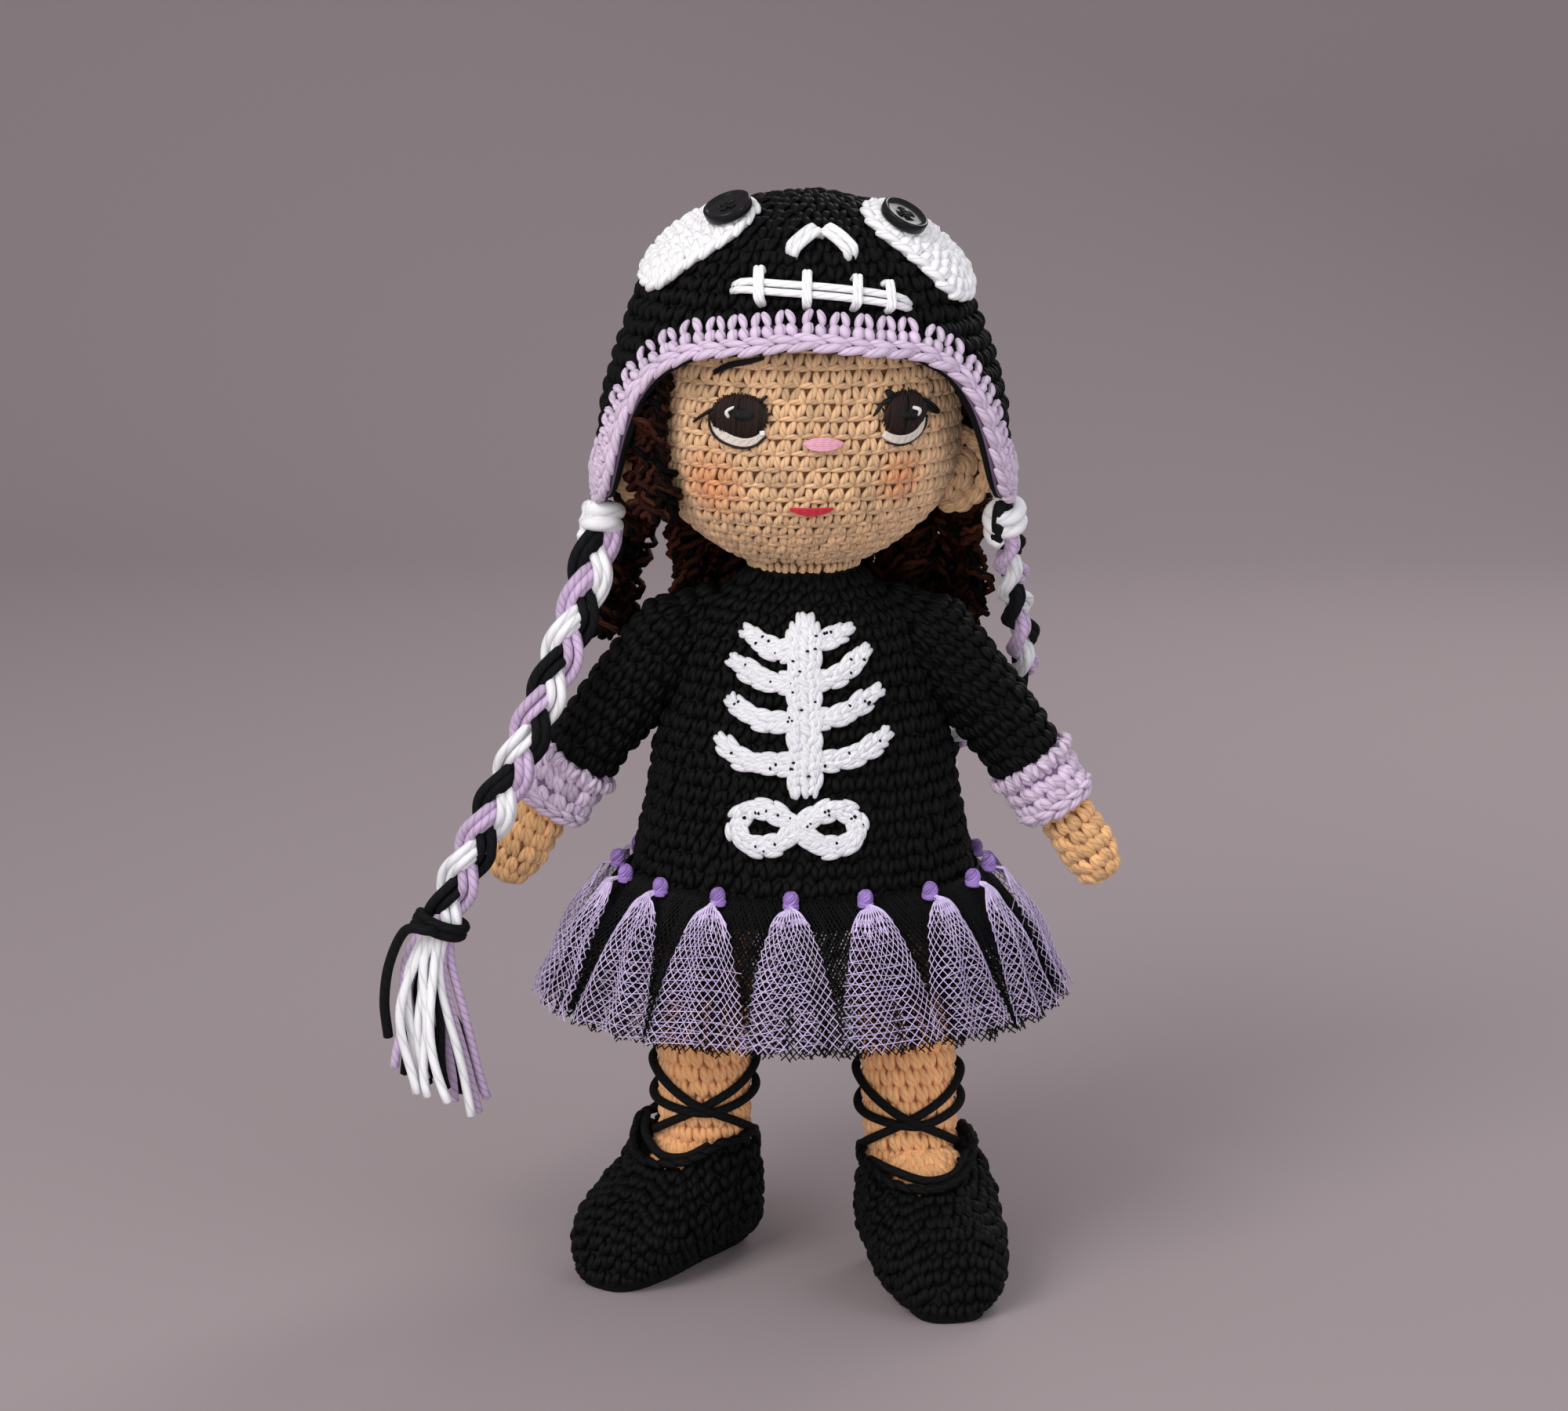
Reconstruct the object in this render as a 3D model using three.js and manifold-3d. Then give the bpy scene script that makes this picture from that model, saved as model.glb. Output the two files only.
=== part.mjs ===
// Crochet doll in a dress, with an ear-flap hat that carries two braids.
// Millimetres, +Z up. The doll faces -Y, and -X is the doll's right-hand side.
// The origin is on the floor, under the middle of the doll.
import * as THREE from "three";
import { mergeVertices } from "three/addons/utils/BufferGeometryUtils.js";
import Module from "manifold-3d";

const wasm = await Module();
wasm.setup();

// Clearances and yarn
const gap = 0.35;
const softGap = 0.6;
const yarnFabric = 3.0;
const cutOverrun = 6;

// How finely the turned pieces are cut into facets
const dressColumns = 24;
const dressRows = 7;
const hatColumns = 26;
const hatRows = 8;
const limbSides = 12;
const shoeSides = 12;
const socketSides = 24;

// Head, face and ears
const headBase = 187;
const headHeight = 88.2;
const headHalfWidth = 41.3;
const headDepthRatio = 0.97;
const eyeWidth = 14.6;
const eyeHeight = 14;
const stitchThickness = 0.9;
const browLength = 12;
const browWidth = 1.6;
const noseWidth = 11;
const noseHeight = 3.7;
const mouthWidth = 11;
const mouthHeight = 2.4;
const earHeight = 21;
const earDepth = 11;
const earStand = 4.6;

// Hair
const hairCapLift = 1.15;
const hairCapThickness = 1.05;
const hairFallThickness = 7;
const hairFallLength = 62;
const hairFallOuter = 48;
const lockTop = 222;
const lockRadius = 6.2;
const lockLength = 60;

// Hat
const hatHalfWidth = 53.3;
const hatThickness = 3.2;
const hatBase = 203.5;
const hatClearance = 2.9;
const hairCapTop = headBase + headHeight + hairCapLift + hairCapThickness;
const hatHeight = hairCapTop + hatClearance + hatThickness - hatBase;
const trimWidth = 9.6;
const patchLength = 35;
const patchWidth = 24;
const patchThickness = 1.8;
const buttonRadius = 6.2;
const buttonThickness = 3;
const buttonHoleRadius = 0.75;
const buttonHoleSpread = 1.7;
const hatStitchWidth = 3;
const hatStitchThickness = 1.6;

// Dress and torso
const dressHem = 100;
const dressNeck = 184.6;
const dressHalfWidth = 48;
const dressDepthRatio = 0.85;
const torsoBottom = 107.5;
const neckRadius = 13;
const boneWidth = 5.4;
const boneThickness = 1.8;
const boneLift = 0.5;
const pelvisWidth = 36;
const pelvisHeight = 15.6;
const pelvisBand = 5.4;

// Tutu
const tutuTop = 107;
const tutuHem = 73;
const tutuHalfWidth = 67;
const tutuDepthRatio = 0.94;
const tulleThickness = 1.1;
const tutuFold = 1.3;
const stripCount = 16;
const firstStripShare = -0.17;
const stripHemWidth = 20.5;
const stripKnotRadius = 2.3;
const stripFold = 1.2;

// Arms
const shoulderX = 31;
const shoulderZ = 169;
const armLength = 81;
const armTopAngle = 44;
const armTipAngle = 27;
const armRadius = 8.6;
const handRadius = 7.4;
const sleeveTopRadius = 12;
const sleeveEndRadius = 10.5;
const sleeveLength = 44;
const shoulderBallRadius = 12.7;
const cuffLength = 15.5;
const cuffRadius = 11;

// Legs and shoes
const hipX = 26.2;
const hipZ = 100;
const legRadius = 13.3;
const ankleRadius = 12.3;
const ankleHeight = 15;
const rightFootTurn = -38;
const leftFootTurn = 10;
const leftFootForward = 16;
const leftFootAside = 3;
const rightShoeAside = -1.5;
const leftShoeAside = 2.1;
const shoeLength = 59;
const shoeWidth = 37;
const shoeAnkleHeight = 40;
const shoeWall = 3.2;
const shoeHeelBack = 15.5;
const shoeMouthLength = 36;
const shoeMouthWidth = 28;
const shoeMouthBack = 13.9;
const shoeMouthFloor = 16;
const floorCut = 0.5;
const laceRadius = 1.2;
const laceSides = 8;
const laceSteps = 14;

// Braids
const braidRadius = 5.9;
const tieRadius = 1.35;
const tasselLength = 46;
const tasselEndRadius = 14;

const root = new THREE.Group();

// Manifold and mesh helpers
function solid(geometry) {
  const bare = geometry.index ? geometry.toNonIndexed() : geometry.clone();
  bare.deleteAttribute("normal");
  bare.deleteAttribute("uv");
  const merged = mergeVertices(bare, 1e-4);
  const made = new wasm.Manifold(
    new wasm.Mesh({
      numProp: 3,
      vertProperties: new Float32Array(merged.attributes.position.array),
      triVerts: new Uint32Array(merged.index.array),
    }),
  );
  return made;
}

function geometryOf(made) {
  const mesh = made.getMesh();
  const geometry = new THREE.BufferGeometry();
  geometry.setAttribute("position", new THREE.BufferAttribute(mesh.vertProperties, 3));
  geometry.setIndex(new THREE.BufferAttribute(mesh.triVerts, 1));
  geometry.computeVertexNormals();
  return geometry;
}

function union(solids) {
  return solids.reduce((all, one) => all.add(one));
}

function addPart(name, made, color, roughness) {
  const material = new THREE.MeshStandardMaterial({ color, roughness, metalness: 0 });
  const mesh = new THREE.Mesh(geometryOf(made), material);
  mesh.name = name;
  root.add(mesh);
}

const colors = {
  skin: 0xd2a578,
  peach: 0xe1a573,
  black: 0x0d0d0f,
  white: 0xf0f0f4,
  lilac: 0xcdb4d7,
  tulle: 0xa582cd,
  hair: 0x3c1c14,
  iris: 0x2b1710,
  pink: 0xe196aa,
  red: 0xbe1928,
};

// A closed mesh from rows of points: each row is a closed ring with as many points as the next.
// The two ends are closed with a fan, or with rungs across where a row runs out and back along a
// thin sheet, and wrap joins the last row to the first one instead.
function ringsMesh(rows, wrap = false, rungs = false) {
  const positions = [];
  const triangle = (a, b, c) => {
    for (const p of [a, b, c]) positions.push(p.x, p.y, p.z);
  };
  const count = rows[0].length;
  const steps = wrap ? rows.length : rows.length - 1;
  for (let i = 0; i < steps; i++) {
    const low = rows[i];
    const high = rows[(i + 1) % rows.length];
    for (let j = 0; j < count; j++) {
      const k = (j + 1) % count;
      triangle(low[j], low[k], high[k]);
      triangle(low[j], high[k], high[j]);
    }
  }
  if (!wrap) {
    const fan = (ring, flip) => {
      const centre = ring.reduce((sum, p) => sum.add(p), new THREE.Vector3());
      centre.divideScalar(ring.length);
      ring.forEach((p, j) => {
        const q = ring[(j + 1) % count];
        if (flip) triangle(centre, q, p);
        else triangle(centre, p, q);
      });
    };
    const ladder = (ring, flip) => {
      for (let j = 0; j < count / 2 - 1; j++) {
        const corners = [ring[j], ring[j + 1], ring[count - 2 - j], ring[count - 1 - j]];
        const [a, b, c, d] = flip ? corners.reverse() : corners;
        triangle(a, b, c);
        triangle(a, c, d);
      }
    };
    const close = rungs ? ladder : fan;
    close(rows[0], true);
    close(rows[rows.length - 1], false);
  }
  const geometry = new THREE.BufferGeometry();
  geometry.setAttribute("position", new THREE.Float32BufferAttribute(positions, 3));
  const made = solid(geometry);
  if (made.volume() >= 0) return made;
  for (let i = 0; i < positions.length; i += 9) {
    for (let j = 0; j < 3; j++) {
      [positions[i + 3 + j], positions[i + 6 + j]] = [positions[i + 6 + j], positions[i + 3 + j]];
    }
  }
  geometry.setAttribute("position", new THREE.Float32BufferAttribute(positions, 3));
  return solid(geometry);
}

function smoothstep(value) {
  const t = THREE.MathUtils.clamp(value, 0, 1);
  return t * t * (3 - 2 * t);
}

// Linear look-up in a table of [key, value] pairs with rising keys.
function table(pairs, key) {
  if (key <= pairs[0][0]) return pairs[0][1];
  for (let i = 1; i < pairs.length; i++) {
    const [k0, v0] = pairs[i - 1];
    const [k1, v1] = pairs[i];
    if (key <= k1) return v0 + ((v1 - v0) * (key - k0)) / (k1 - k0);
  }
  return pairs[pairs.length - 1][1];
}

// An egg-like surface: a side outline from bottom to top, turned about Z and flattened along Y.
// The outline is given in shares of the half width and of the height.
class Outline {
  constructor(shares, halfWidth, base, height, depthRatio) {
    const points = shares.map(([w, h]) => new THREE.Vector3(w * halfWidth, base + h * height, 0));
    this.curve = new THREE.CatmullRomCurve3(points, false, "centripetal");
    this.depthRatio = depthRatio;
    this.base = base;
    this.top = base + height;
    const steps = 160;
    this.samples = Array.from({ length: steps + 1 }, (_, i) => {
      const p = this.curve.getPoint(i / steps);
      return [p.y, Math.max(p.x, 0)];
    });
  }
  halfWidthAt(z) {
    if (z <= this.samples[0][0]) return this.samples[0][1];
    return table(this.samples, z);
  }
  // The curve's own parameter where it passes height z.
  shareAt(z) {
    let low = 0;
    let high = 1;
    for (let i = 0; i < 40; i++) {
      const mid = (low + high) / 2;
      if (this.curve.getPoint(mid).y < z) low = mid;
      else high = mid;
    }
    return (low + high) / 2;
  }
  // A point at angle turn from the front, pushed out by offset along the outline's normal.
  point(turn, share, offset = 0) {
    const p = this.curve.getPoint(share);
    const t = this.curve.getTangent(share);
    const w = Math.max(p.x + offset * t.y, 0);
    const z = p.y - offset * t.x;
    return new THREE.Vector3(w * Math.sin(turn), -w * this.depthRatio * Math.cos(turn), z);
  }
  holds(p) {
    if (p.z <= this.samples[0][0] || p.z >= this.top) return false;
    const w = this.halfWidthAt(p.z);
    if (w <= 0) return false;
    return (p.x / w) ** 2 + (p.y / (w * this.depthRatio)) ** 2 < 1;
  }
  // The surface point on the ray from a point on the axis through the target, with its normal.
  project(target, offset) {
    const heart = new THREE.Vector3(0, 0, THREE.MathUtils.lerp(this.base, this.top, 0.5));
    const ray = target.clone().sub(heart);
    ray.normalize();
    let low = 0;
    let high = 2 * (this.top - this.base);
    for (let i = 0; i < 40; i++) {
      const mid = (low + high) / 2;
      if (this.holds(heart.clone().addScaledVector(ray, mid))) low = mid;
      else high = mid;
    }
    const p = heart.clone().addScaledVector(ray, (low + high) / 2);
    const share = this.shareAt(p.z);
    const t = this.curve.getTangent(share);
    const w = this.halfWidthAt(p.z);
    const turn = Math.atan2(p.x, -p.y / this.depthRatio);
    const normal = new THREE.Vector3(
      (t.y * Math.sin(turn) * this.depthRatio),
      -t.y * Math.cos(turn),
      -t.x * this.depthRatio,
    );
    if (w < gap) normal.set(0, 0, 1);
    normal.normalize();
    return { point: p.clone().addScaledVector(normal, offset), normal };
  }
}

// Rows of a turned surface between two edges given as functions of the turn.
function turnedRows(outline, lowEdge, highEdge, rowCount, columns, offset) {
  return Array.from({ length: rowCount + 1 }, (_, i) =>
    Array.from({ length: columns }, (_, j) => {
      const turn = (j / columns) * 2 * Math.PI;
      const share = THREE.MathUtils.lerp(lowEdge(turn), highEdge(turn), i / rowCount);
      return outline.point(turn, share, offset);
    }),
  );
}

// A band with a wall: up the outside and down the inside.
function bandShell(outline, lowEdge, highEdge, rowCount, columns, wall, outside = 0) {
  const outer = turnedRows(outline, lowEdge, highEdge, rowCount, columns, outside);
  const inner = turnedRows(outline, lowEdge, highEdge, rowCount, columns, outside - wall);
  return ringsMesh([...outer, ...inner.reverse()], true);
}

// A cap with a wall, closed at the pole: the outer and inner skins meet at the lower edge.
function capShell(outline, lowEdge, rowCount, columns, wall, outside = 0) {
  const high = () => 1 - 1e-3;
  const outer = turnedRows(outline, lowEdge, high, rowCount, columns, outside);
  const inner = turnedRows(outline, lowEdge, high, rowCount, columns, outside - wall);
  return ringsMesh([...outer.reverse(), ...inner]);
}

// A round cord along chosen points, of one radius or of radii given along its length.
function cord(points, radii, sides, steps, closed = false) {
  const curve = new THREE.CatmullRomCurve3(points, closed, "centripetal");
  const count = closed ? steps : steps + 1;
  const frames = curve.computeFrenetFrames(steps, closed);
  const rows = Array.from({ length: count }, (_, i) => {
    const centre = curve.getPointAt(i / steps);
    const radius = Array.isArray(radii) ? table(radii, i / steps) : radii;
    return Array.from({ length: sides }, (_, j) => {
      const a = (j / sides) * 2 * Math.PI;
      return centre
        .clone()
        .addScaledVector(frames.normals[i], radius * Math.cos(a))
        .addScaledVector(frames.binormals[i], radius * Math.sin(a));
    });
  });
  return ringsMesh(rows, closed);
}

// A flat strip laid on a surface along chosen points, with its own width and thickness.
function stripOn(outline, targets, width, thickness, lift = gap, steps = 8) {
  const curve = new THREE.CatmullRomCurve3(targets, false, "centripetal");
  const rows = Array.from({ length: steps + 1 }, (_, i) => {
    const share = i / steps;
    const target = curve.getPoint(share);
    const base = outline.project(target, 0);
    const along = curve.getTangent(share);
    const across = new THREE.Vector3().crossVectors(base.normal, along).normalize();
    const endShare = 0.7 + 0.3 * Math.min(1, 4 * Math.min(share, 1 - share));
    const reach = (width / 2) * endShare;
    const left = base.point.clone().addScaledVector(across, -reach);
    const right = base.point.clone().addScaledVector(across, reach);
    return [
      outline.project(left, lift).point,
      outline.project(right, lift).point,
      outline.project(right, lift + thickness).point,
      outline.project(base.point, lift + thickness * 1.1).point,
      outline.project(left, lift + thickness).point,
    ];
  });
  return ringsMesh(rows);
}

// An oval pad laid on a surface: centre target, half length along one direction, half width across.
// A large pad gets a middle ring below as well, so that it follows the surface.
function padOn(outline, centre, along, halfLength, halfWidth, thickness, sides = 14) {
  const base = outline.project(centre, 0);
  const u = along.clone().addScaledVector(base.normal, -along.dot(base.normal)).normalize();
  const v = new THREE.Vector3().crossVectors(base.normal, u);
  const ring = (share, offset) =>
    Array.from({ length: sides }, (_, j) => {
      const a = (j / sides) * 2 * Math.PI;
      const target = base.point
        .clone()
        .addScaledVector(u, halfLength * share * Math.cos(a))
        .addScaledVector(v, halfWidth * share * Math.sin(a));
      return outline.project(target, offset).point;
    });
  const top = gap + thickness;
  const large = halfLength > eyeWidth;
  const below = large ? [0.05, 0.55, 1] : [0.05, 1];
  const above = large ? [0.96, 0.55, 0.05] : [0.94, 0.05];
  return ringsMesh([
    ...below.map((share) => ring(share, gap)), ...above.map((share) => ring(share, top)),
  ]);
}

// Surfaces that the pieces share
const headShares = [
  [0.31, 0], [0.44, 0.028], [0.62, 0.078], [0.81, 0.157], [0.93, 0.247], [0.985, 0.348],
  [1, 0.46], [0.995, 0.573], [0.94, 0.708], [0.81, 0.843], [0.6, 0.933], [0.3, 0.985], [0, 1],
];
const head = new Outline(headShares, headHalfWidth, headBase, headHeight, headDepthRatio);

const hatShares = [
  [0.985, 0], [1, 0.12], [0.998, 0.24], [0.975, 0.36], [0.92, 0.485], [0.852, 0.61], [0.77, 0.745],
  [0.62, 0.856], [0.47, 0.925], [0.3, 0.968], [0.13, 0.993], [0, 1],
];
const hat = new Outline(hatShares, hatHalfWidth, hatBase, hatHeight, headDepthRatio);

const dressShares = [
  [1, 0], [0.955, 0.085], [0.865, 0.33], [0.81, 0.52], [0.74, 0.66], [0.68, 0.8], [0.58, 0.9],
  [0.44, 0.965], [0.345, 1],
];
const dress = new Outline(
  dressShares, dressHalfWidth, dressHem, dressNeck - dressHem, dressDepthRatio,
);
const constant = (value) => () => value;

// Arms: the centre line bends a little, from the shoulder to the finger tips
function armPoint(side, distance) {
  const mean = THREE.MathUtils.lerp(armTopAngle, armTipAngle, distance / armLength / 2);
  const angle = THREE.MathUtils.degToRad(mean);
  return new THREE.Vector3(
    side * (shoulderX + distance * Math.sin(angle)),
    0,
    shoulderZ - distance * Math.cos(angle),
  );
}

function armRings(side, rings) {
  const rows = rings.map(([distance, radius]) => {
    const centre = armPoint(side, distance);
    const ahead = armPoint(side, distance + gap);
    const behind = armPoint(side, distance - gap);
    const along = ahead.sub(behind).normalize();
    const across = new THREE.Vector3().crossVectors(along, new THREE.Vector3(0, 1, 0)).normalize();
    return Array.from({ length: limbSides }, (_, j) => {
      const a = (j / limbSides) * 2 * Math.PI;
      const p = centre.clone().addScaledVector(across, radius * Math.cos(a));
      p.y += radius * Math.sin(a);
      return p;
    });
  });
  return ringsMesh(rows);
}

function ball(radius, x, y, z, segments = limbSides) {
  const geometry = new THREE.SphereGeometry(radius, segments, segments / 2);
  geometry.translate(x, y, z);
  return solid(geometry);
}

function armAndHand(side) {
  const wrist = sleeveLength + cuffLength;
  const hand = armLength - wrist;
  return armRings(side, [
    [-armRadius * 0.5, armRadius * 0.55],
    [0, armRadius * 0.9],
    [armRadius, armRadius],
    [sleeveLength, THREE.MathUtils.lerp(armRadius, handRadius, 0.5)],
    [wrist, handRadius * 0.95],
    [wrist + hand * 0.25, handRadius],
    [wrist + hand * 0.6, handRadius],
    [wrist + hand * 0.85, handRadius * 0.8],
    [wrist + hand, handRadius * 0.35],
  ]);
}

function sleeveOuter(side, extra) {
  const tube = armRings(side, [
    [0, sleeveTopRadius + extra],
    [sleeveLength * 0.35, sleeveTopRadius + extra],
    [sleeveLength * 0.7, THREE.MathUtils.lerp(sleeveTopRadius, sleeveEndRadius, 0.5) + extra],
    [sleeveLength, sleeveEndRadius + extra],
  ]);
  return tube.add(ball(shoulderBallRadius + extra, side * shoulderX, 0, shoulderZ));
}

function armBore(side) {
  const wrist = sleeveLength + cuffLength;
  return armRings(side, [
    [-armRadius * 0.5 - gap, armRadius * 0.55 + gap],
    [0, armRadius * 0.9 + gap],
    [armRadius, armRadius + gap],
    [sleeveLength, THREE.MathUtils.lerp(armRadius, handRadius, 0.5) + gap],
    [wrist, handRadius * 0.95 + gap],
    [wrist + cutOverrun, handRadius + gap],
  ]);
}

const sides = [["right", -1], ["left", 1]];
for (const [word, side] of sides) {
  addPart("arm_" + word, armAndHand(side), colors.skin, 0.9);
  addPart("sleeve_" + word, sleeveOuter(side, 0).subtract(armBore(side)), colors.black, 0.95);
  const cuffStart = sleeveLength + gap;
  const cuff = armRings(side, [
    [cuffStart, sleeveEndRadius],
    [cuffStart + cuffLength * 0.5, THREE.MathUtils.lerp(sleeveEndRadius, cuffRadius, 0.6)],
    [cuffStart + cuffLength, cuffRadius],
  ]);
  addPart("cuff_" + word, cuff.subtract(armBore(side)), colors.lilac, 0.9);
}

// Dress and torso, cut where the sleeves sit and where the legs turn
const shoulderCuts = union(sides.map(([, side]) => {
  const socket = ball(shoulderBallRadius + softGap, side * shoulderX, 0, shoulderZ, socketSides);
  return sleeveOuter(side, gap).add(socket);
}));
const dressBody = bandShell(dress, constant(0), constant(1), dressRows, dressColumns, yarnFabric);
addPart("dress", dressBody.subtract(shoulderCuts), colors.black, 0.95);

function legAxis(side) {
  const forward = side > 0 ? leftFootForward : 0;
  const hip = new THREE.Vector3(side * hipX, 0, hipZ);
  const aside = side > 0 ? leftFootAside : 0;
  const ankle = new THREE.Vector3(side * hipX + aside, -forward, ankleHeight);
  return { hip, ankle };
}

const hipCuts = union(sides.map(([, side]) =>
  ball(legRadius + softGap, side * hipX, 0, hipZ, socketSides),
));
const torsoLow = dress.shareAt(torsoBottom);
const torsoInset = yarnFabric + softGap;
const torsoShares = [torsoLow];
for (let i = 1; i < dressRows; i++) {
  if (i / dressRows > torsoLow) torsoShares.push(i / dressRows);
}
torsoShares.push(1);
const torsoRows = torsoShares.map((share) =>
  Array.from({ length: dressColumns }, (_, j) =>
    dress.point((j / dressColumns) * 2 * Math.PI, share, -torsoInset),
  ),
);
const neckTop = headBase - gap;
const neckRows = [dressNeck - yarnFabric / 2, neckTop].map((z) =>
  Array.from({ length: dressColumns }, (_, j) => {
    const a = (j / dressColumns) * 2 * Math.PI;
    return new THREE.Vector3(
      neckRadius * Math.sin(a), -neckRadius * Math.cos(a) * dressDepthRatio, z,
    );
  }),
);
const torso = ringsMesh([...torsoRows, ...neckRows]);
addPart("torso", torso.subtract(shoulderCuts).subtract(hipCuts), colors.skin, 0.9);

// Legs with feet, and the slippers round them
function shoeSection(distance, inset) {
  const from = distance + shoeHeelBack;
  const share = from / shoeLength;
  const fromWidest = (share - widestShare) / (share > widestShare ? 1 - widestShare : widestShare);
  const round = Math.sqrt(1 - toeRoundShare * fromWidest ** 4);
  const heightShare = table(shoeHeightShares, share);
  return {
    halfWidth: Math.max((shoeWidth / 2) * round - inset, gap),
    top: Math.max(shoeAnkleHeight * heightShare - inset, inset + gap),
  };
}
// The slipper's plan is widest at one share of its length and ends in a round toe and heel
const widestShare = 0.42;
const toeRoundShare = 0.94;
const shoeHeightShares = [
  [0, 0.25], [0.03, 0.55], [0.1, 0.85], [0.22, 1], [0.42, 0.97], [0.55, 0.78], [0.68, 0.66],
  [0.82, 0.56], [0.93, 0.42], [0.98, 0.28], [1, 0.16],
];
const shoeStationShares = [0, 0.03, 0.12, 0.3, 0.5, 0.66, 0.82, 0.94, 0.985, 1];

function shoeForm(inset, bottom) {
  const length = shoeLength - 2 * inset;
  const rows = shoeStationShares.map((station) => {
    const distance = -shoeHeelBack + inset + station * length;
    const { halfWidth, top } = shoeSection(-shoeHeelBack + station * shoeLength, inset);
    const squeeze = (v) => Math.sign(v) * Math.abs(v) ** 0.78;
    return Array.from({ length: shoeSides }, (_, j) => {
      const a = (j / shoeSides) * 2 * Math.PI;
      const across = halfWidth * squeeze(Math.cos(a));
      const up = THREE.MathUtils.lerp(bottom, top, 0.5 + 0.5 * squeeze(Math.sin(a)));
      return new THREE.Vector3(distance, across, up);
    });
  });
  return ringsMesh(rows);
}

// The foot and its slipper stand a little to the outside of the ankle.
function placeFoot(made, side, aside = side > 0 ? leftShoeAside : rightShoeAside) {
  const turn = side > 0 ? leftFootTurn : rightFootTurn;
  const { ankle } = legAxis(side);
  const matrix = new THREE.Matrix4()
    .makeRotationZ(THREE.MathUtils.degToRad(turn - 90))
    .setPosition(ankle.x + aside, ankle.y, 0);
  return made.transform(matrix.toArray());
}

function legTube(side, extra) {
  const { hip, ankle } = legAxis(side);
  const along = hip.clone().sub(ankle).normalize();
  const across = new THREE.Vector3(1, 0, 0);
  const front = new THREE.Vector3().crossVectors(across, along);
  const length = hip.distanceTo(ankle);
  const rings = [
    [0, ankleRadius],
    [0.5, THREE.MathUtils.lerp(ankleRadius, legRadius, 0.7)],
    [0.85, legRadius],
    [1, legRadius],
  ];
  const rows = rings.map(([share, radius]) =>
    Array.from({ length: limbSides }, (_, j) => {
      const a = (j / limbSides) * 2 * Math.PI;
      return ankle
        .clone()
        .addScaledVector(along, share * length)
        .addScaledVector(across, (radius + extra) * Math.cos(a))
        .addScaledVector(front, (radius + extra) * Math.sin(a));
    }),
  );
  return ringsMesh(rows);
}

function lacePoint(side, turn, height) {
  const { hip, ankle } = legAxis(side);
  const share = (height - ankleHeight) / (hipZ - ankleHeight);
  const centre = ankle.clone().lerp(hip, share);
  const radius = THREE.MathUtils.lerp(ankleRadius, legRadius, share * 1.4) + laceRadius + 1.3 * gap;
  const a = THREE.MathUtils.degToRad(turn);
  return centre.add(new THREE.Vector3(radius * Math.sin(a), -radius * Math.cos(a), 0));
}

function laceTurn(side, fromTurn, toTurn, heights) {
  const steps = 10;
  const points = Array.from({ length: steps + 1 }, (_, i) => {
    const share = i / steps;
    const turn = THREE.MathUtils.lerp(fromTurn, toTurn, share);
    return lacePoint(side, turn, table(heights, share));
  });
  return cord(points, laceRadius, laceSides, laceSteps);
}

// Each lace rises from the rim of the slipper, crosses in front and closes behind the leg
const laceHeightShares = [[0, 0.93], [0.32, 1.0375], [0.64, 1.2375], [1, 1.3125]];
const laceHeights = laceHeightShares.map(([share, height]) => [share, height * shoeAnkleHeight]);
for (const [word, side] of sides) {
  const foot = placeFoot(shoeForm(shoeWall + gap, shoeWall + gap), side);
  const { hip } = legAxis(side);
  const leg = union([legTube(side, 0), ball(legRadius, hip.x, 0, hip.z), foot]);
  addPart("leg_" + word, leg, colors.peach, 0.9);
  const mouth = new THREE.CylinderGeometry(1, 1, shoeAnkleHeight, 24);
  mouth.rotateX(Math.PI / 2);
  mouth.scale(shoeMouthLength / 2, shoeMouthWidth / 2, 1);
  mouth.translate(shoeMouthLength / 2 - shoeMouthBack, 0, shoeMouthFloor + shoeAnkleHeight / 2);
  const outer = shoeForm(0, -floorCut);
  const floor = new THREE.BoxGeometry(shoeLength * 2, shoeWidth * 2, shoeWidth);
  floor.translate(0, 0, -shoeWidth / 2);
  const shell = outer.subtract(shoeForm(shoeWall, shoeWall)).subtract(solid(floor));
  const opening = placeFoot(solid(mouth), side, 0).add(legTube(side, gap));
  const shoe = placeFoot(shell, side).subtract(opening);
  addPart("shoe_" + word, shoe, colors.black, 0.95);
  const lace = union([
    laceTurn(side, -84, 180, laceHeights),
    laceTurn(side, 84, -180, laceHeights),
  ]);
  addPart("lace_" + word, lace, colors.black, 0.9);
}

// Head with its ears and embroidered face
const headRows = turnedRows(head, constant(0), constant(1 - 1e-3), 12, dressColumns, 0);
addPart("head", ringsMesh(headRows), colors.skin, 0.9);

// Places on the face: across in shares of the head's half width, up in shares of its height
const faceShare = 0.109;
const eyeSpreadShare = 0.4915;
const eyeUpShare = 0.4796;
const browUpShare = 0.6236;
const noseUpShare = 0.4127;
const mouthUpShare = 0.2256;
const mouthShare = 0.0436;
const earUpShare = 0.2664;
const onHead = (share) => headBase + share * headHeight;
const faceCentre = faceShare * headHalfWidth;
const eyeSpread = eyeSpreadShare * headHalfWidth;
const levelward = new THREE.Vector3(1, 0, 0);
const upward = new THREE.Vector3(0, 0, 1);

// A target in the front view, set on the head where a level line from the front meets it
function frontTarget(outline, x, z) {
  const w = outline.halfWidthAt(z);
  const y = -outline.depthRatio * Math.sqrt(Math.max(w * w - x * x, 0));
  return new THREE.Vector3(x, y, z);
}

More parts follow.
